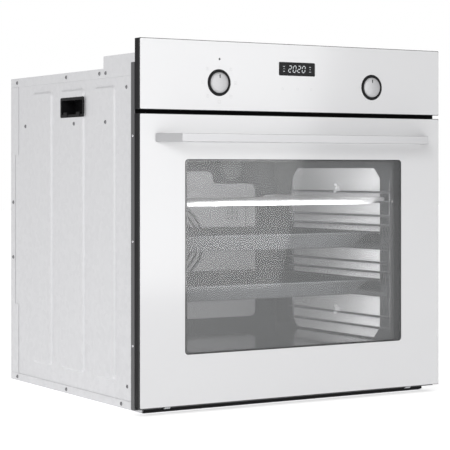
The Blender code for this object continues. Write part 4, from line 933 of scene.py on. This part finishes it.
class OVEN_OT_control_glass(bpy.types.Operator):
    """Makes the control panel's glass, its clock and its printed marks"""
    bl_idname = "oven.control_glass"
    bl_label = "Control glass"

    def execute(self, context):
        sizes = context.scene.oven_sizes
        low, high = span("control_glass")
        shown_low, shown_high = span("display_module")
        front = low[1]
        holes, centres = [], []
        for label in ("function", "temperature"):
            a, b = span(f"{label}_bezel")
            centres.append(((a[0] + b[0]) / 2, (a[2] + b[2]) / 2))
            holes.append(partial(round_hole, centres[-1], (b[0] - a[0]) / 2 + 2 * HAIR))
        inset = 8 * MM
        window = ((shown_low[0] + inset, shown_low[2] + inset),
                  (shown_high[0] - inset, shown_high[2] - inset))
        holes.append(lambda edge: inset_rect(*window, -HAIR - edge, MM))
        rim = ((low[0], low[2]), (high[0], high[2]))
        glass, edge = printed_glass("control", rim, holes, front, high[1], sizes.print_depth)
        place(glass, "root", "white_glass", "white print", "control_glass")
        place(edge, "root", "clear_glass", "glass edge", "control_glass")
        # A near-black film on the flange behind the gap under the control panel: painted shade that
        # darkens the gap, which in truth is only in shadow
        flange = span("front_frame")[0][1]
        strip = block("gap-strip", (low[0] + MM, flange - 4 * HAIR, low[2] - 9 * MM),
                      (high[0] - MM, flange - HAIR, low[2] + 2 * MM), HAIR, 1)
        place(strip, "root", "black_plastic", "gap black")
        pane = slab("clock-window", [inset_rect(*window, HAIR, MM)], front + HAIR,
                    shown_high[1] - MM, FRONT, HAIR)
        place(pane, "root", "black_plastic", "display glass", "display_module")
        clock_low = (window[0][0], 0, window[0][1])
        clock_high = (window[1][0], 0, window[1][1])
        outlines = display_outlines(clock_low, clock_high, sizes.digit_height)
        digits = printed("clock-digits", [[o] for o in outlines], front + HAIR)
        place(digits, "root", "clear_glass", "lit digits")

        marks = symbol_outlines(centres[0], sizes.symbol_radius)
        marks += tick_outlines(centres[1], sizes.symbol_radius)
        for u in BUTTONS:
            marks.append([circle((u, centres[0][1] - BUTTON_DROP), radius, 24)
                          for radius in BUTTON_RING])
        ink = printed("printed-symbols", marks, front)
        place(ink, "root", "white_glass", "faint mark")
        lit_at = (centres[0][0] + 0.6 * MM, high[2] - INDICATOR_DROP)
        light = [[circle(lit_at, INDICATOR_RADIUS, 24)]]
        place(printed("indicator", light, front), "root", "black_plastic", "indicator")
        return {"FINISHED"}


class OVEN_OT_knobs(bpy.types.Operator):
    """Makes the two pop-out knobs, their pointers, rings and spindles"""
    bl_idname = "oven.knobs"
    bl_label = "Knobs"

    def execute(self, context):
        for label in ("function", "temperature"):
            low, high = span(f"{label}_knob")
            x, z = (low[0] + high[0]) / 2, (low[2] + high[2]) / 2
            radius, deep = (high[0] - low[0]) / 2, high[1] - low[1]
            bore = 3.5 * MM
            profile = [(0, deep + 1.1 * MM), (radius * 0.45, deep + 0.95 * MM),
                       (radius * 0.80, deep + 0.45 * MM), (radius * 0.91, deep + 0.05 * MM),
                       (radius * 0.95, deep - 0.5 * MM), (radius * 0.985, deep - 0.6 * MM),
                       (radius, deep - 1.2 * MM), (radius, 0), (bore, 0), (bore, deep - 4 * MM),
                       (0, deep - 4 * MM)]
            knob = turned(f"{label}-knob", profile, (x, high[1], z), 64)
            place(knob, f"{label}_knob", "brushed_aluminium", "knob metal", f"{label}_knob")
            top = low[1] - 0.95 * MM
            pointer = block(f"{label}-pointer", (x - 0.9 * MM, top, z + radius * 0.42),
                            (x + 0.9 * MM, top + 1.2 * MM, z + radius * 0.80), 0.25 * MM)
            place(pointer, f"{label}_knob", "black_plastic", "black plastic")

            low, high = span(f"{label}_bezel")
            outer, front, rear = (high[0] - low[0]) / 2, low[1], high[1]
            inner, deep = radius + 4 * HAIR, rear - front
            rim = [(inner, 0), (inner, deep - 0.6 * MM), (inner + 0.5 * MM, deep),
                   (outer - 0.9 * MM, deep), (outer - 0.2 * MM, deep - 0.4 * MM),
                   (outer, deep - MM), (outer, 0)]
            ring = turned(f"{label}-ring", rim + rim[:1], (x, rear, z), 64)
            place(ring, "root", "black_plastic", "black plastic", f"{label}_bezel")
            low, high = span(f"{label}_spindle")
            radius, deep = (high[0] - low[0]) / 2, high[1] - low[1]
            shaft = [(0, deep), (radius - 0.4 * MM, deep), (radius, deep - 0.4 * MM), (radius, 0),
                     (0, 0)]
            spindle = turned(f"{label}-spindle", shaft, (x, high[1], z), 32)
            place(spindle, f"{label}_spindle", "brushed_aluminium", "screw steel",
                  f"{label}_spindle")
        return {"FINISHED"}


# Casing

def side_planes():
    """How far out the side sheets lie, and how far their pressed fields stand out of them."""
    sheet = span("top_cover")[1][0] - LIP_STEP
    return sheet, span("right_side_panel")[1][0] - sheet + FIELD_SWELL


def pressed_side(sizes):
    """The right side sheet: three raised fields with round corners in one drawn surface."""
    low, high = span("right_side_panel")
    outer, field_rise = side_planes()
    fields = [((y0 * MM, FIELD_LOW), (y1 * MM, FIELD_HIGH)) for y0, y1 in FIELD_RUNS]
    radius, slope, steps = sizes.field_radius, sizes.field_slope, 6
    rims = [inset_rect(a, b, 0, radius) for a, b in fields]
    edge = rounded_rect(low[1], low[2], high[1], high[2], MM)
    sheet = settle(link("side", filled_curve("side", [edge] + rims)))
    sheet.data.transform(SIDE @ Matrix.Translation((0, 0, outer)))
    bm = bmesh.new()
    bm.from_mesh(sheet.data)
    bpy.data.objects.remove(sheet)
    dull = [f for f in bm.faces if f.normal.x < 0]
    bmesh.ops.reverse_faces(bm, faces=dull)
    for a, b in fields:
        rings = []
        for step in range(steps + 1):
            outline = inset_rect(a, b, slope * step / steps, radius)
            depth = outer + field_rise * rise(step, steps)
            rings.append([bm.verts.new(p) for p in on_plane(outline, SIDE, depth)])
        for below, above in zip(rings, rings[1:]):
            for i in range(len(below)):
                j = (i + 1) % len(below)
                bm.faces.new((above[j], above[i], below[i], below[j]))
        bm.faces.new(rings[-1])
    bmesh.ops.remove_doubles(bm, verts=bm.verts, dist=HAIR / 10)
    side = from_bmesh("side", bm)
    thicken(side, SHEET)
    return settle(side)


class OVEN_OT_side_panels(bpy.types.Operator):
    """Makes the pressed sides and the black carry handles in them"""
    bl_idname = "oven.side_panels"
    bl_label = "Sides"

    def execute(self, context):
        sizes = context.scene.oven_sizes
        for side, sign in SIDES:
            low, high = span("right_carry_handle")
            rim, reach = GRIP_LAP, 10 * MM
            panel = cut_out(pressed_side(sizes), (high[0] - reach, low[1] + rim, low[2] + rim),
                            (high[0] + reach, high[1] - rim, high[2] - rim))
            lap_low, lap_high = span("right_side_panel")
            outer = side_planes()[0]
            lap = block("lap", (outer - HAIR, lap_low[1] + HAIR, lap_low[2] + LAP_MARGIN),
                        (outer + 4 * HAIR, LAP_END, lap_high[2] - LAP_MARGIN), HAIR, 1)
            panel = joined(f"{side}-side-panel", [panel, lap])
            place(smooth(mirrored(panel, sign)), "root", "galvanised_sheet", "casing sheet",
                  f"{side}_side_panel")

            outline = inset_rect(low[1:], high[1:], 0, 3 * MM)
            mouth = inset_rect(low[1:], high[1:], 5 * MM, 7 * MM)
            plate = slab("plate", [outline, mouth], high[0] - MM, high[0], SIDE, 0.3 * MM)
            floor = low[0] + 2 * MM
            loops = [on_plane(mouth, SIDE, floor), on_plane(mouth, SIDE, high[0] - 0.3 * MM)]
            pocket = lofted("pocket", loops, 1.6 * MM)
            teeth = [block("tooth", (high[0] - 3 * MM, y, low[2] + MM),
                           (high[0] + MM, y + TOOTH_LENGTH, low[2] + 9 * MM), 0.6 * MM)
                     for y in (low[1] + TOOTH_LENGTH, high[1] - 2 * TOOTH_LENGTH)]
            grip = joined(f"{side}-carry-handle", [plate, pocket, *teeth])
            place(smooth(mirrored(grip, sign)), "root", "black_plastic", "black plastic",
                  f"{side}_carry_handle")
        return {"FINISHED"}


def screw_shape(radius):
    """A pan head with a round recess; it looks along +Z and is placed by the tree."""
    high = radius * 0.5
    profile = [(0, high * 0.3), (radius * 0.30, high * 0.3), (radius * 0.36, high),
               (radius * 0.70, high * 0.9), (radius * 0.95, high * 0.4), (radius, 0), (0, 0)]
    return turned("screw", profile, (0, 0, 0), 20, (0, 0, 1))


class OVEN_OT_screws(bpy.types.Operator):
    """Places the casing screws, the flange screws and the cover screws"""
    bl_idname = "oven.screws"
    bl_label = "Screws"

    def execute(self, context):
        sizes = context.scene.oven_sizes
        sheet, field_rise = side_planes()
        out_by = {"lip": span("top_cover")[1][0], "sheet": sheet, "field": sheet + field_rise}
        flange = span("front_frame")[1][0]
        spots = []
        for _, sign in SIDES:
            turn = (0, sign * math.pi / 2, 0)
            spots += [((sign * out_by[on], y * MM, z * MM), turn) for on, y, z in SIDE_SCREWS]
        rear = span("rear_cover")[1]
        turn = (-math.pi / 2, 0, 0)
        across = [rear[0] * share for share in SCREW_SHARES]
        spots += [((x, rear[1], z), turn) for x in across for z in REAR_SCREW_HEIGHTS]
        top = span("top_cover")[1][2]
        spots += [((x, y, top), (0, 0, 0)) for x in across for y in TOP_SCREW_DEPTHS]
        screws = scattered("casing-screws", screw_shape(sizes.screw_radius), spots, "screw zinc")
        place(screws, "root", "runner_steel", "screw zinc")

        dots = []
        for _, sign in SIDES:
            turn = (0, sign * math.pi / 2, 0)
            dots += [((sign * flange, -6 * MM, z * MM), turn) for z in FLANGE_SCREW_HEIGHTS]
        small = scattered("flange-screws", screw_shape(FLANGE_SCREW_RADIUS), dots, "screw steel")
        place(small, "root", "runner_steel", "screw steel")
        return {"FINISHED"}


# Pieces that keep their frame shape, with whole faces and rounded edges

KEPT = {
    "front_frame": (0.5, "flange paint", "front_frame_paint"),
    "bottom_strip": (0.4, "black plastic", "black_plastic"),
    "control_box_cover": (0.2, "casing sheet", "galvanised_sheet"),
    "top_cover": (0.2, "casing sheet", "galvanised_sheet"),
    "rear_cover": (0.2, "casing sheet", "galvanised_sheet"),
    "base_plate": (0.2, "casing sheet", "galvanised_sheet"),
    "door_frame": (0.4, "black plastic", "black_plastic"),
    "control_carrier": (0.4, "black plastic", "black_plastic"),
    "left_hinge_body": (0.3, "zinc plate", "galvanised_sheet"),
    "right_hinge_body": (0.3, "zinc plate", "galvanised_sheet"),
    "left_hinge_arm": (0.3, "zinc plate", "galvanised_sheet"),
    "right_hinge_arm": (0.3, "zinc plate", "galvanised_sheet"),
    "left_hinge_bracket": (0.3, "zinc plate", "galvanised_sheet"),
    "right_hinge_bracket": (0.3, "zinc plate", "galvanised_sheet"),
    "cavity_liner": (0, "cavity enamel", "enamel"),
    "convection_fan": (0.3, "heater sheath", "brushed_aluminium"),
    "cooling_wheel": (0.3, "black plastic", "black_plastic"),
    "fan_motor": (1.0, "zinc plate", "galvanised_sheet"),
    "cooling_blower_housing": (1.0, "zinc plate", "galvanised_sheet"),
    "function_switch": (0.8, "black plastic", "black_plastic"),
    "thermostat": (0.8, "black plastic", "black_plastic"),
    "terminal_block": (0.8, "black plastic", "black_plastic"),
    "lamp_socket": (0.3, "heater sheath", "heater_tube"),
    "insulation_blanket": (4.0, "mineral wool", "mineral_wool"),
}


class OVEN_OT_structure(bpy.types.Operator):
    """Finishes the folded covers, the frame, the hinges and the works behind them"""
    bl_idname = "oven.structure"
    bl_label = "Casing and works"

    def execute(self, context):
        bodies = {name: body for body, names in body_nodes().items() for name in names}
        for name, (soften, material, slot) in KEPT.items():
            piece = refined(name, soften * MM)
            place(piece, bodies[name], slot, material, name)
        return {"FINISHED"}


def body_nodes():
    """The frame nodes of each body."""
    bodies = frame["record"]["behaviour"]["bodies"]
    if isinstance(bodies, dict):
        return bodies
    return {body["name"]: body["nodes"] for body in bodies}


# Cavity

def fan_cover_outline(low, high):
    """The cover's outline: its upper right corner swings down round the lamp."""
    notch_wide, notch_high = LAMP_NOTCH
    corners = [(low[0], low[2]), (high[0], low[2]), (high[0], high[2] - notch_high),
               (high[0] - notch_wide, high[2] - notch_high), (high[0] - notch_wide, high[2]),
               (low[0], high[2])]
    return rounded_outline(corners, 11 * MM, 8)


def guard_outlines(centre):
    """Ring slots over the fan, a quarter each, with a bridge between them."""
    outlines = []
    for outer in GUARD_RADII:
        trim = math.asin(GUARD_BRIDGE / outer)
        for quarter in range(4):
            first = quarter * math.pi / 2 + trim
            outlines.append(ring_slot(centre, outer - GUARD_SLOT, outer, first,
                                      first + math.pi / 2 - 2 * trim))
    return outlines


def vent_outlines():
    """Nine small vents, the slot beside them and the notch below."""
    wide, high = VENT_SIZE
    outlines = [rounded_rect(x, z, x + wide, z + high, 1.9 * MM, 3)
                for x in VENT_COLUMNS for z in VENT_ROWS]
    stem = [(168 * MM, 276 * MM), (169.6 * MM, 276 * MM), (169.6 * MM, 314 * MM),
            (175 * MM, 314 * MM), (175 * MM, 316 * MM), (163 * MM, 316 * MM),
            (163 * MM, 314 * MM), (168 * MM, 314 * MM)]
    return outlines + [stem, rounded_rect(129 * MM, 193 * MM, 131.5 * MM, 201 * MM, MM, 3)]


class OVEN_OT_cavity_trim(bpy.types.Operator):
    """Makes the fan cover, the wall liners, the lamp, the elements and the door seal"""
    bl_idname = "oven.cavity_trim"
    bl_label = "Cavity trim"

    def execute(self, context):
        low, high = span("fan_cover")
        outline = fan_cover_outline(low, high)
        holes = guard_outlines((0, FAN_HEIGHT)) + vent_outlines()
        face = slab("face", [outline, *holes], low[1], low[1] + SHEET, FRONT, 0.15 * MM)
        loops = [[(u, y, v) for u, v in outline] for y in (high[1], low[1] + 0.5 * MM)]
        skirt = lofted("skirt", loops, SHEET, close_first=False)
        rib = [slab("rib", [rounded_rect(-165 * MM, z, 165 * MM, z + 5 * MM, 2.4 * MM)],
                    low[1] - 0.8 * MM, low[1], FRONT, 0.35 * MM) for z in RIB_HEIGHTS]
        cover = joined("fan-cover", [face, skirt, *rib])
        # The fan cover takes the darker copy of the liner coating: painted shade
        place(smooth(cover), "root", "liner_coating", "cover coating", "fan_cover")

        for side, sign in SIDES:
            low, high = span("right_wall_liner")
            corner = 18 * MM
            outline = [(low[1] + corner, low[2]), (high[1] - corner, low[2]),
                       (high[1], low[2] + corner), (high[1], high[2] - corner),
                       (high[1] - corner, high[2]), (low[1] + corner, high[2]),
                       (low[1], high[2] - corner), (low[1], low[2] + corner)]
            panel = slab(f"{side}-wall-liner", [rounded_outline(outline, 4 * MM)], low[0], high[0],
                         SIDE, 0.2 * MM)
            # The wall liners take the lighter copy of the coating: painted light
            place(mirrored(panel, sign), "root", "liner_coating", "liner coating",
                  f"{side}_wall_liner")

        low, high = span("lamp_glass")
        radius, proud = (high[0] - low[0]) / 2, high[1] - low[1]
        wall = 1.5 * MM
        dome, inside = ([((radius - w) * math.cos(a), (proud - w) * math.sin(a))
                         for a in (math.pi / 2 * i / 10 for i in range(11))] for w in (0, wall))
        profile = dome[::-1] + inside
        place_at = ((low[0] + high[0]) / 2, high[1], (low[2] + high[2]) / 2)
        place(turned("lamp-glass", profile, place_at, 40), "root", "clear_glass", "lamp glass",
              "lamp_glass")

        low, high = span("grill_element")
        tube = (high[2] - low[2]) / 2
        for name, path in (("grill_element", grill_path), ("bottom_element", floor_path),
                           ("ring_heater", ring_path)):
            coil = wires(name.replace("_", "-"), [(path(tube), False)], tube, "heater sheath")
            place(coil, "root", "heater_tube", "heater sheath", name)

        low, high = span("door_seal")
        bead = (high[1] - low[1]) / 2
        y = (low[1] + high[1]) / 2
        corners = [(low[0] + bead, y, low[2] + bead), (high[0] - bead, y, low[2] + bead),
                   (high[0] - bead, y, high[2] - bead), (low[0] + bead, y, high[2] - bead)]
        seal = wires("door-seal", [(rounded_path(corners, 4 * bead, 8, True), True)], bead,
                     "seal rubber", 16)
        place(seal, "root", "seal_rubber", "seal rubber", "door_seal")
        return {"FINISHED"}


def grill_path(tube):
    low, high = span("grill_element")
    z, near, loop = (low[2] + high[2]) / 2, ELEMENT_GAP, 80 * MM
    wide, front, back = high[0] - tube, low[1] + tube, 370 * MM
    half = [(near, high[1]), (near, back), (wide, back), (wide, front), (loop, front),
            (loop, front + 230 * MM)]
    right = [(x, y, z) for x, y in half]
    return rounded_path(right + [(-x, y, z) for x, y, z in reversed(right)], near * 0.9, 6)


def floor_path(tube):
    low, high = span("bottom_element")
    z, near = (low[2] + high[2]) / 2, ELEMENT_GAP
    wide, front, back = high[0] - tube, low[1] + tube, high[1]
    half = [(near, back, z), (near, back - 28 * MM, z), (wide, back - 28 * MM, z),
            (wide, front, z)]
    return rounded_path(half + [(-x, y, z) for x, y, z in reversed(half)], near * 0.9, 6)


def ring_path(tube):
    low, high = span("ring_heater")
    radius = (high[0] - low[0]) / 2 - tube
    y, z = (low[1] + high[1]) / 2, low[2] + tube + radius
    gap = math.asin(ELEMENT_GAP / radius)
    return [(radius * math.sin(a), y, z + radius * math.cos(a))
            for a in (gap + (2 * math.pi - 2 * gap) * i / 72 for i in range(73))]


# Racks, shelf and trays

def level_heights():
    """The heights of a rack's wires: two low ones, then a pair for each of the five levels."""
    pairs = [z + LEVEL_PITCH * level for level in range(LEVELS) for z in LEVEL_PAIR]
    return [z * MM for z in LOW_WIRES + pairs]


def rack_hooks(post_x, wall_x, y):
    """Wire hooks that carry the front post on the cavity wall."""
    paths = []
    for z in (118 * MM, 362 * MM):
        corners = [(post_x, y, z - 6 * MM), (post_x - 4 * MM, y - 5 * MM, z - 6 * MM),
                   (post_x - 4 * MM, y - 5 * MM, z + 6 * MM), (post_x, y, z + 6 * MM)]
        paths.append((rounded_path(corners, 2 * MM, 3), False))
    return paths


def thumb_nut():
    """A knurled nut with two wings, looking along +Z."""
    profile = [(0, 9 * MM), (2.4 * MM, 9 * MM), (2.8 * MM, 8.4 * MM), (2.8 * MM, 5 * MM),
               (6.0 * MM, 4.4 * MM), (6.4 * MM, 3.6 * MM), (6.4 * MM, MM), (6 * MM, 0), (0, 0)]
    nut = turned("nut", profile, (0, 0, 0), 24, (0, 0, 1))
    wings = [block("wing", (u - 2.6 * MM, -MM, 2.5 * MM), (u + 2.6 * MM, MM, 10 * MM), 0.7 * MM)
             for u in (-6.2 * MM, 6.2 * MM)]
    return joined("nut", [nut, *wings])


class OVEN_OT_racks(bpy.types.Operator):
    """Makes the wire side racks, their hooks and the nuts that hold them"""
    bl_idname = "oven.racks"
    bl_label = "Side racks"

    def execute(self, context):
        low, high = span("right_rack")
        heights = level_heights()
        post_radius, wire_radius, margin = POST_RADIUS, RACK_WIRE, 6 * MM
        post_x, wire_x = high[0] - post_radius, low[0] + wire_radius
        front, rear = low[1] + margin, high[1] - margin
        for side, sign in SIDES:
            posts = [([(post_x, y, heights[0] - margin), (post_x, y, heights[-1] + margin)], False)
                     for y in (front, rear)]
            rails = [([(wire_x, front - margin, z), (wire_x, rear + margin, z)], False)
                     for z in heights]
            hooks = rack_hooks(post_x, high[0], front)
            rack = joined(f"{side}-rack", [wires("posts", posts, post_radius, "chrome", 16),
                                           wires("rails", rails, wire_radius, "chrome", 16),
                                           wires("hooks", hooks, THIN_WIRE, "chrome", 10)])
            place(smooth(mirrored(rack, sign), 50), "root", "chrome_wire", "chrome",
                  f"{side}_rack")
        spots = [((sign * (high[0] - MM), 188 * MM, z), (0, -sign * math.pi / 2, 0))
                 for _, sign in SIDES for z in (130 * MM, 353 * MM)]
        # The nuts are chrome with a painted sheen: near-white in place of reflections
        nuts = scattered("rack-nuts", thumb_nut(), spots, "bright wire")
        place(nuts, "root", "chrome_wire", "bright wire")
        return {"FINISHED"}


def shelf_frame(low, high, radius):
    """The shelf's frame wire: it steps down from the side rails to the bars at front and rear."""
    rail_z, bar_z = high[2] - radius, low[2] + radius
    rail_x, front, rear = high[0] - radius, low[1] + radius, high[1] - radius
    inner = SHELF_PITCH * SHELF_SIDE_WIRES
    kink = inner + 2 * (rail_z - bar_z)
    corners = [(-inner, front, bar_z), (inner, front, bar_z), (kink, front, rail_z),
               (rail_x, front, rail_z), (rail_x, rear, rail_z), (kink, rear, rail_z),
               (inner, rear, bar_z), (-inner, rear, bar_z), (-kink, rear, rail_z),
               (-rail_x, rear, rail_z), (-rail_x, front, rail_z), (-kink, front, rail_z)]
    return rounded_path(corners, 2 * radius, 6, True), (front, rear, bar_z + radius)


class OVEN_OT_shelf(bpy.types.Operator):
    """Makes the chromed wire shelf"""
    bl_idname = "oven.shelf"
    bl_label = "Wire shelf"

    def execute(self, context):
        low, high = span("wire_shelf")
        path, (front, rear, z) = shelf_frame(low, high, SHELF_FRAME)
        thin, inner = THIN_WIRE, SHELF_PITCH * SHELF_SIDE_WIRES
        across = [([(SHELF_PITCH * i, front - thin, z), (SHELF_PITCH * i, rear + thin, z)], False)
                  for i in range(-SHELF_SIDE_WIRES, SHELF_SIDE_WIRES + 1)]
        stays = [([(-inner, y, z - 2 * thin), (inner, y, z - 2 * thin)], False)
                 for y in (front + 120 * MM, rear - 120 * MM)]
        # The shelf's chrome wires are near-white as painted sheen, in place of reflections
        shelf = joined("wire-shelf", [wires("frame", [(path, True)], SHELF_FRAME, "bright wire",
                                            16),
                                      wires("cross", across, thin, "bright wire", 12),
                                      wires("stays", stays, thin, "bright wire", 12)])
        place(smooth(shelf, 50), "wire_shelf", "chrome_wire", "bright wire", "wire_shelf")
        return {"FINISHED"}


def channel(name, low, high, wall, opens):
    """A rail of C section that opens towards +X or -X, along Y."""
    (x0, y0, z0), (x1, y1, z1) = low, high
    if opens > 0:
        outline = [(x0, z0), (x1, z0), (x1, z0 + 2.5 * wall), (x1 - wall, z0 + 2.5 * wall),
                   (x1 - wall, z0 + wall), (x0 + wall, z0 + wall), (x0 + wall, z1 - wall),
                   (x1 - wall, z1 - wall), (x1 - wall, z1 - 2.5 * wall), (x1, z1 - 2.5 * wall),
                   (x1, z1), (x0, z1)]
    else:
        outline = [(x0 + x1 - u, v) for u, v in
                   reversed([(x0, z0), (x1, z0), (x1, z0 + wall), (x0 + wall, z0 + wall),
                             (x0 + wall, z1 - wall), (x1, z1 - wall), (x1, z1), (x0, z1)])]
    return slab(name, [outline], y0, y1, FRONT, 0.15 * MM)


class OVEN_OT_trays(bpy.types.Operator):
    """Makes the enamelled trays and the telescopic runners that carry them"""
    bl_idname = "oven.trays"
    bl_label = "Trays and runners"

    def execute(self, context):
        for name in ("lower", "upper"):
            low, high = span(f"{name}_tray")
            curl, flange, slope, radius = 2.5 * MM, 13 * MM, 22 * MM, 12 * MM
            rim_z = high[2] - curl
            floor_z = low[2] + 0.8 * MM
            levels = [(flange + slope + 3 * MM, floor_z), (flange + slope - MM, floor_z + 0.6 * MM),
                      (flange + slope - 3 * MM, floor_z + 2.2 * MM),
                      (flange + 1.5 * MM, rim_z - 1.5 * MM), (flange, rim_z - 0.4 * MM),
                      (flange - 1.5 * MM, rim_z), (2 * MM, rim_z), (0.6 * MM, rim_z + 0.4 * MM),
                      (0, rim_z + MM), (0, high[2])]
            loops = [[(x, y, z) for x, y in
                      rounded_rect(low[0] + inset, low[1] + inset, high[0] - inset,
                                   high[1] - inset, radius + 0.4 * inset, 8)]
                     for inset, z in levels]
            tray = lofted(f"{name}-tray", loops, SHEET)
            place(tray, f"{name}_tray", "tray_enamel", "tray enamel", f"{name}_tray")
            for side, sign in SIDES:
                rail_low, rail_high = span(f"{name}_right_runner")
                rail = channel(f"{name}-{side}-runner", rail_low, rail_high, SHEET, -1)
                stop = block("stop", (rail_low[0], rail_high[1] - 4 * MM, rail_low[2]),
                             rail_high, 0.3 * MM)
                rail = joined(rail.name, [rail, stop])
                place(smooth(mirrored(rail, sign)), "root", "runner_steel", "runner steel",
                      f"{name}_{side}_runner")
                bar_low, bar_high = span(f"{name}_right_slider")
                bar = channel(f"{name}-{side}-slider", bar_low, bar_high, 0.9 * MM, 1)
                tip = block("tip", bar_low,
                            (bar_high[0], bar_low[1] + 6 * MM, bar_high[2]), 0.5 * MM)
                bar = joined(bar.name, [bar, tip])
                place(smooth(mirrored(bar, sign)), f"{name}_tray", "runner_steel", "runner steel",
                      f"{name}_{side}_slider")
        return {"FINISHED"}


# Stage

def area_light(name, at, toward, size, power, diffuse=True):
    light = bpy.data.lights.new(name, "AREA")
    light.shape = "RECTANGLE"
    light.size, light.size_y = size
    light.energy = power
    obj = bpy.data.objects.new(name, light)
    obj.location = at
    obj.rotation_euler = Vector(toward).to_track_quat("-Z", "Y").to_euler()
    obj.visible_camera = False
    obj.visible_diffuse = diffuse
    bpy.context.scene.collection.objects.link(obj)
    return obj


class OVEN_OT_studio(bpy.types.Operator):
    """Makes the pale floor, the soft light and the camera"""
    bl_idname = "oven.studio"
    bl_label = "Studio"

    def execute(self, context):
        scene, studio = context.scene, context.scene.oven_studio
        camera = bpy.data.cameras.new("camera")
        camera.lens = studio.lens
        camera.shift_y = studio.shift
        eye = bpy.data.objects.new("camera", camera)
        eye.location = studio.place
        eye.rotation_euler = (math.pi / 2, 0, -studio.turn)
        scene.collection.objects.link(eye)
        scene.camera = eye
        scene.view_settings.view_transform = "Standard"

        world = bpy.data.worlds.new("surround")
        world.use_nodes = True
        tree = world.node_tree
        tree.nodes["Background"].inputs["Color"].default_value = (1, 1, 1, 1)
        seen = node(tree, "ShaderNodeLightPath").outputs["Is Camera Ray"]
        strength = node(tree, "ShaderNodeMapRange", [("Value", seen)])
        strength.inputs["To Min"].default_value = studio.sky
        tree.links.new(strength.outputs["Result"], tree.nodes["Background"].inputs["Strength"])
        scene.world = world

        edge, tilt, half_width = Vector((1.50, -2.30, 0.22)), math.radians(13.3), 0.8
        middle = edge + Vector((-math.cos(tilt), 0, math.sin(tilt))) * half_width
        panel = area_light("front panel", middle, (0, 1, 0), (2 * half_width, 2.4),
                           studio.key_power, diffuse=False)
        panel.rotation_euler.rotate_axis("Z", -tilt)
        area_light("left light", (-2.2, -2.4, 1.6), (2.2, 2.6, -1.3), (1.3, 1.3), 40)
        middle, inward = (0, 0.006, 0.26), (0, 1, 0)
        mouth = area_light("mouth light", middle, inward, (0.34, 0.33), 4.6)
        mouth.visible_glossy = False

        bpy.ops.mesh.primitive_plane_add(size=24, location=(0, 0, -0.001))
        floor = context.object
        floor.name = "floor"
        paint = bpy.data.materials.new("floor")
        paint.use_nodes = True
        sockets = paint.node_tree.nodes["Principled BSDF"].inputs
        for label, value in (("Base Color", (0.93, 0.93, 0.93, 1)), ("Roughness", 0.9),
                             ("Specular IOR Level", 0.0), ("Emission Color", (1, 1, 1, 1)),
                             ("Emission Strength", 0.55)):
            sockets[label].default_value = value
        floor.data.materials.append(paint)
        return {"FINISHED"}


# Panel and run

PIECES = (OVEN_OT_studio, OVEN_OT_door_glass, OVEN_OT_handle, OVEN_OT_control_glass, OVEN_OT_knobs,
          OVEN_OT_side_panels, OVEN_OT_structure, OVEN_OT_screws, OVEN_OT_cavity_trim,
          OVEN_OT_racks, OVEN_OT_shelf, OVEN_OT_trays)


class OVEN_PT_sidebar(bpy.types.Panel):
    """Lists the oven's settings and the operators that make its pieces"""
    bl_idname = "OVEN_PT_sidebar"
    bl_label = "Built-in Oven"
    bl_space_type = "VIEW_3D"
    bl_region_type = "UI"
    bl_category = "Oven"

    def draw(self, context):
        for group in (context.scene.oven_finishes, context.scene.oven_sizes,
                      context.scene.oven_studio):
            box = self.layout.box()
            for name in group.__annotations__:
                box.prop(group, name)
        for piece in PIECES:
            self.layout.operator(piece.bl_idname)


SETTINGS = {"oven_finishes": OvenFinishes, "oven_sizes": OvenSizes, "oven_studio": OvenStudio}


def register():
    for cls in (*SETTINGS.values(), *PIECES, OVEN_PT_sidebar):
        bpy.utils.register_class(cls)
    for name, cls in SETTINGS.items():
        setattr(bpy.types.Scene, name, PointerProperty(type=cls))


def unregister():
    for name in SETTINGS:
        delattr(bpy.types.Scene, name)
    for cls in reversed((*SETTINGS.values(), *PIECES, OVEN_PT_sidebar)):
        bpy.utils.unregister_class(cls)


def main():
    register()
    for piece in PIECES:
        getattr(bpy.ops.oven, piece.bl_idname.split(".")[1])()


if __name__ == "__main__":
    main()
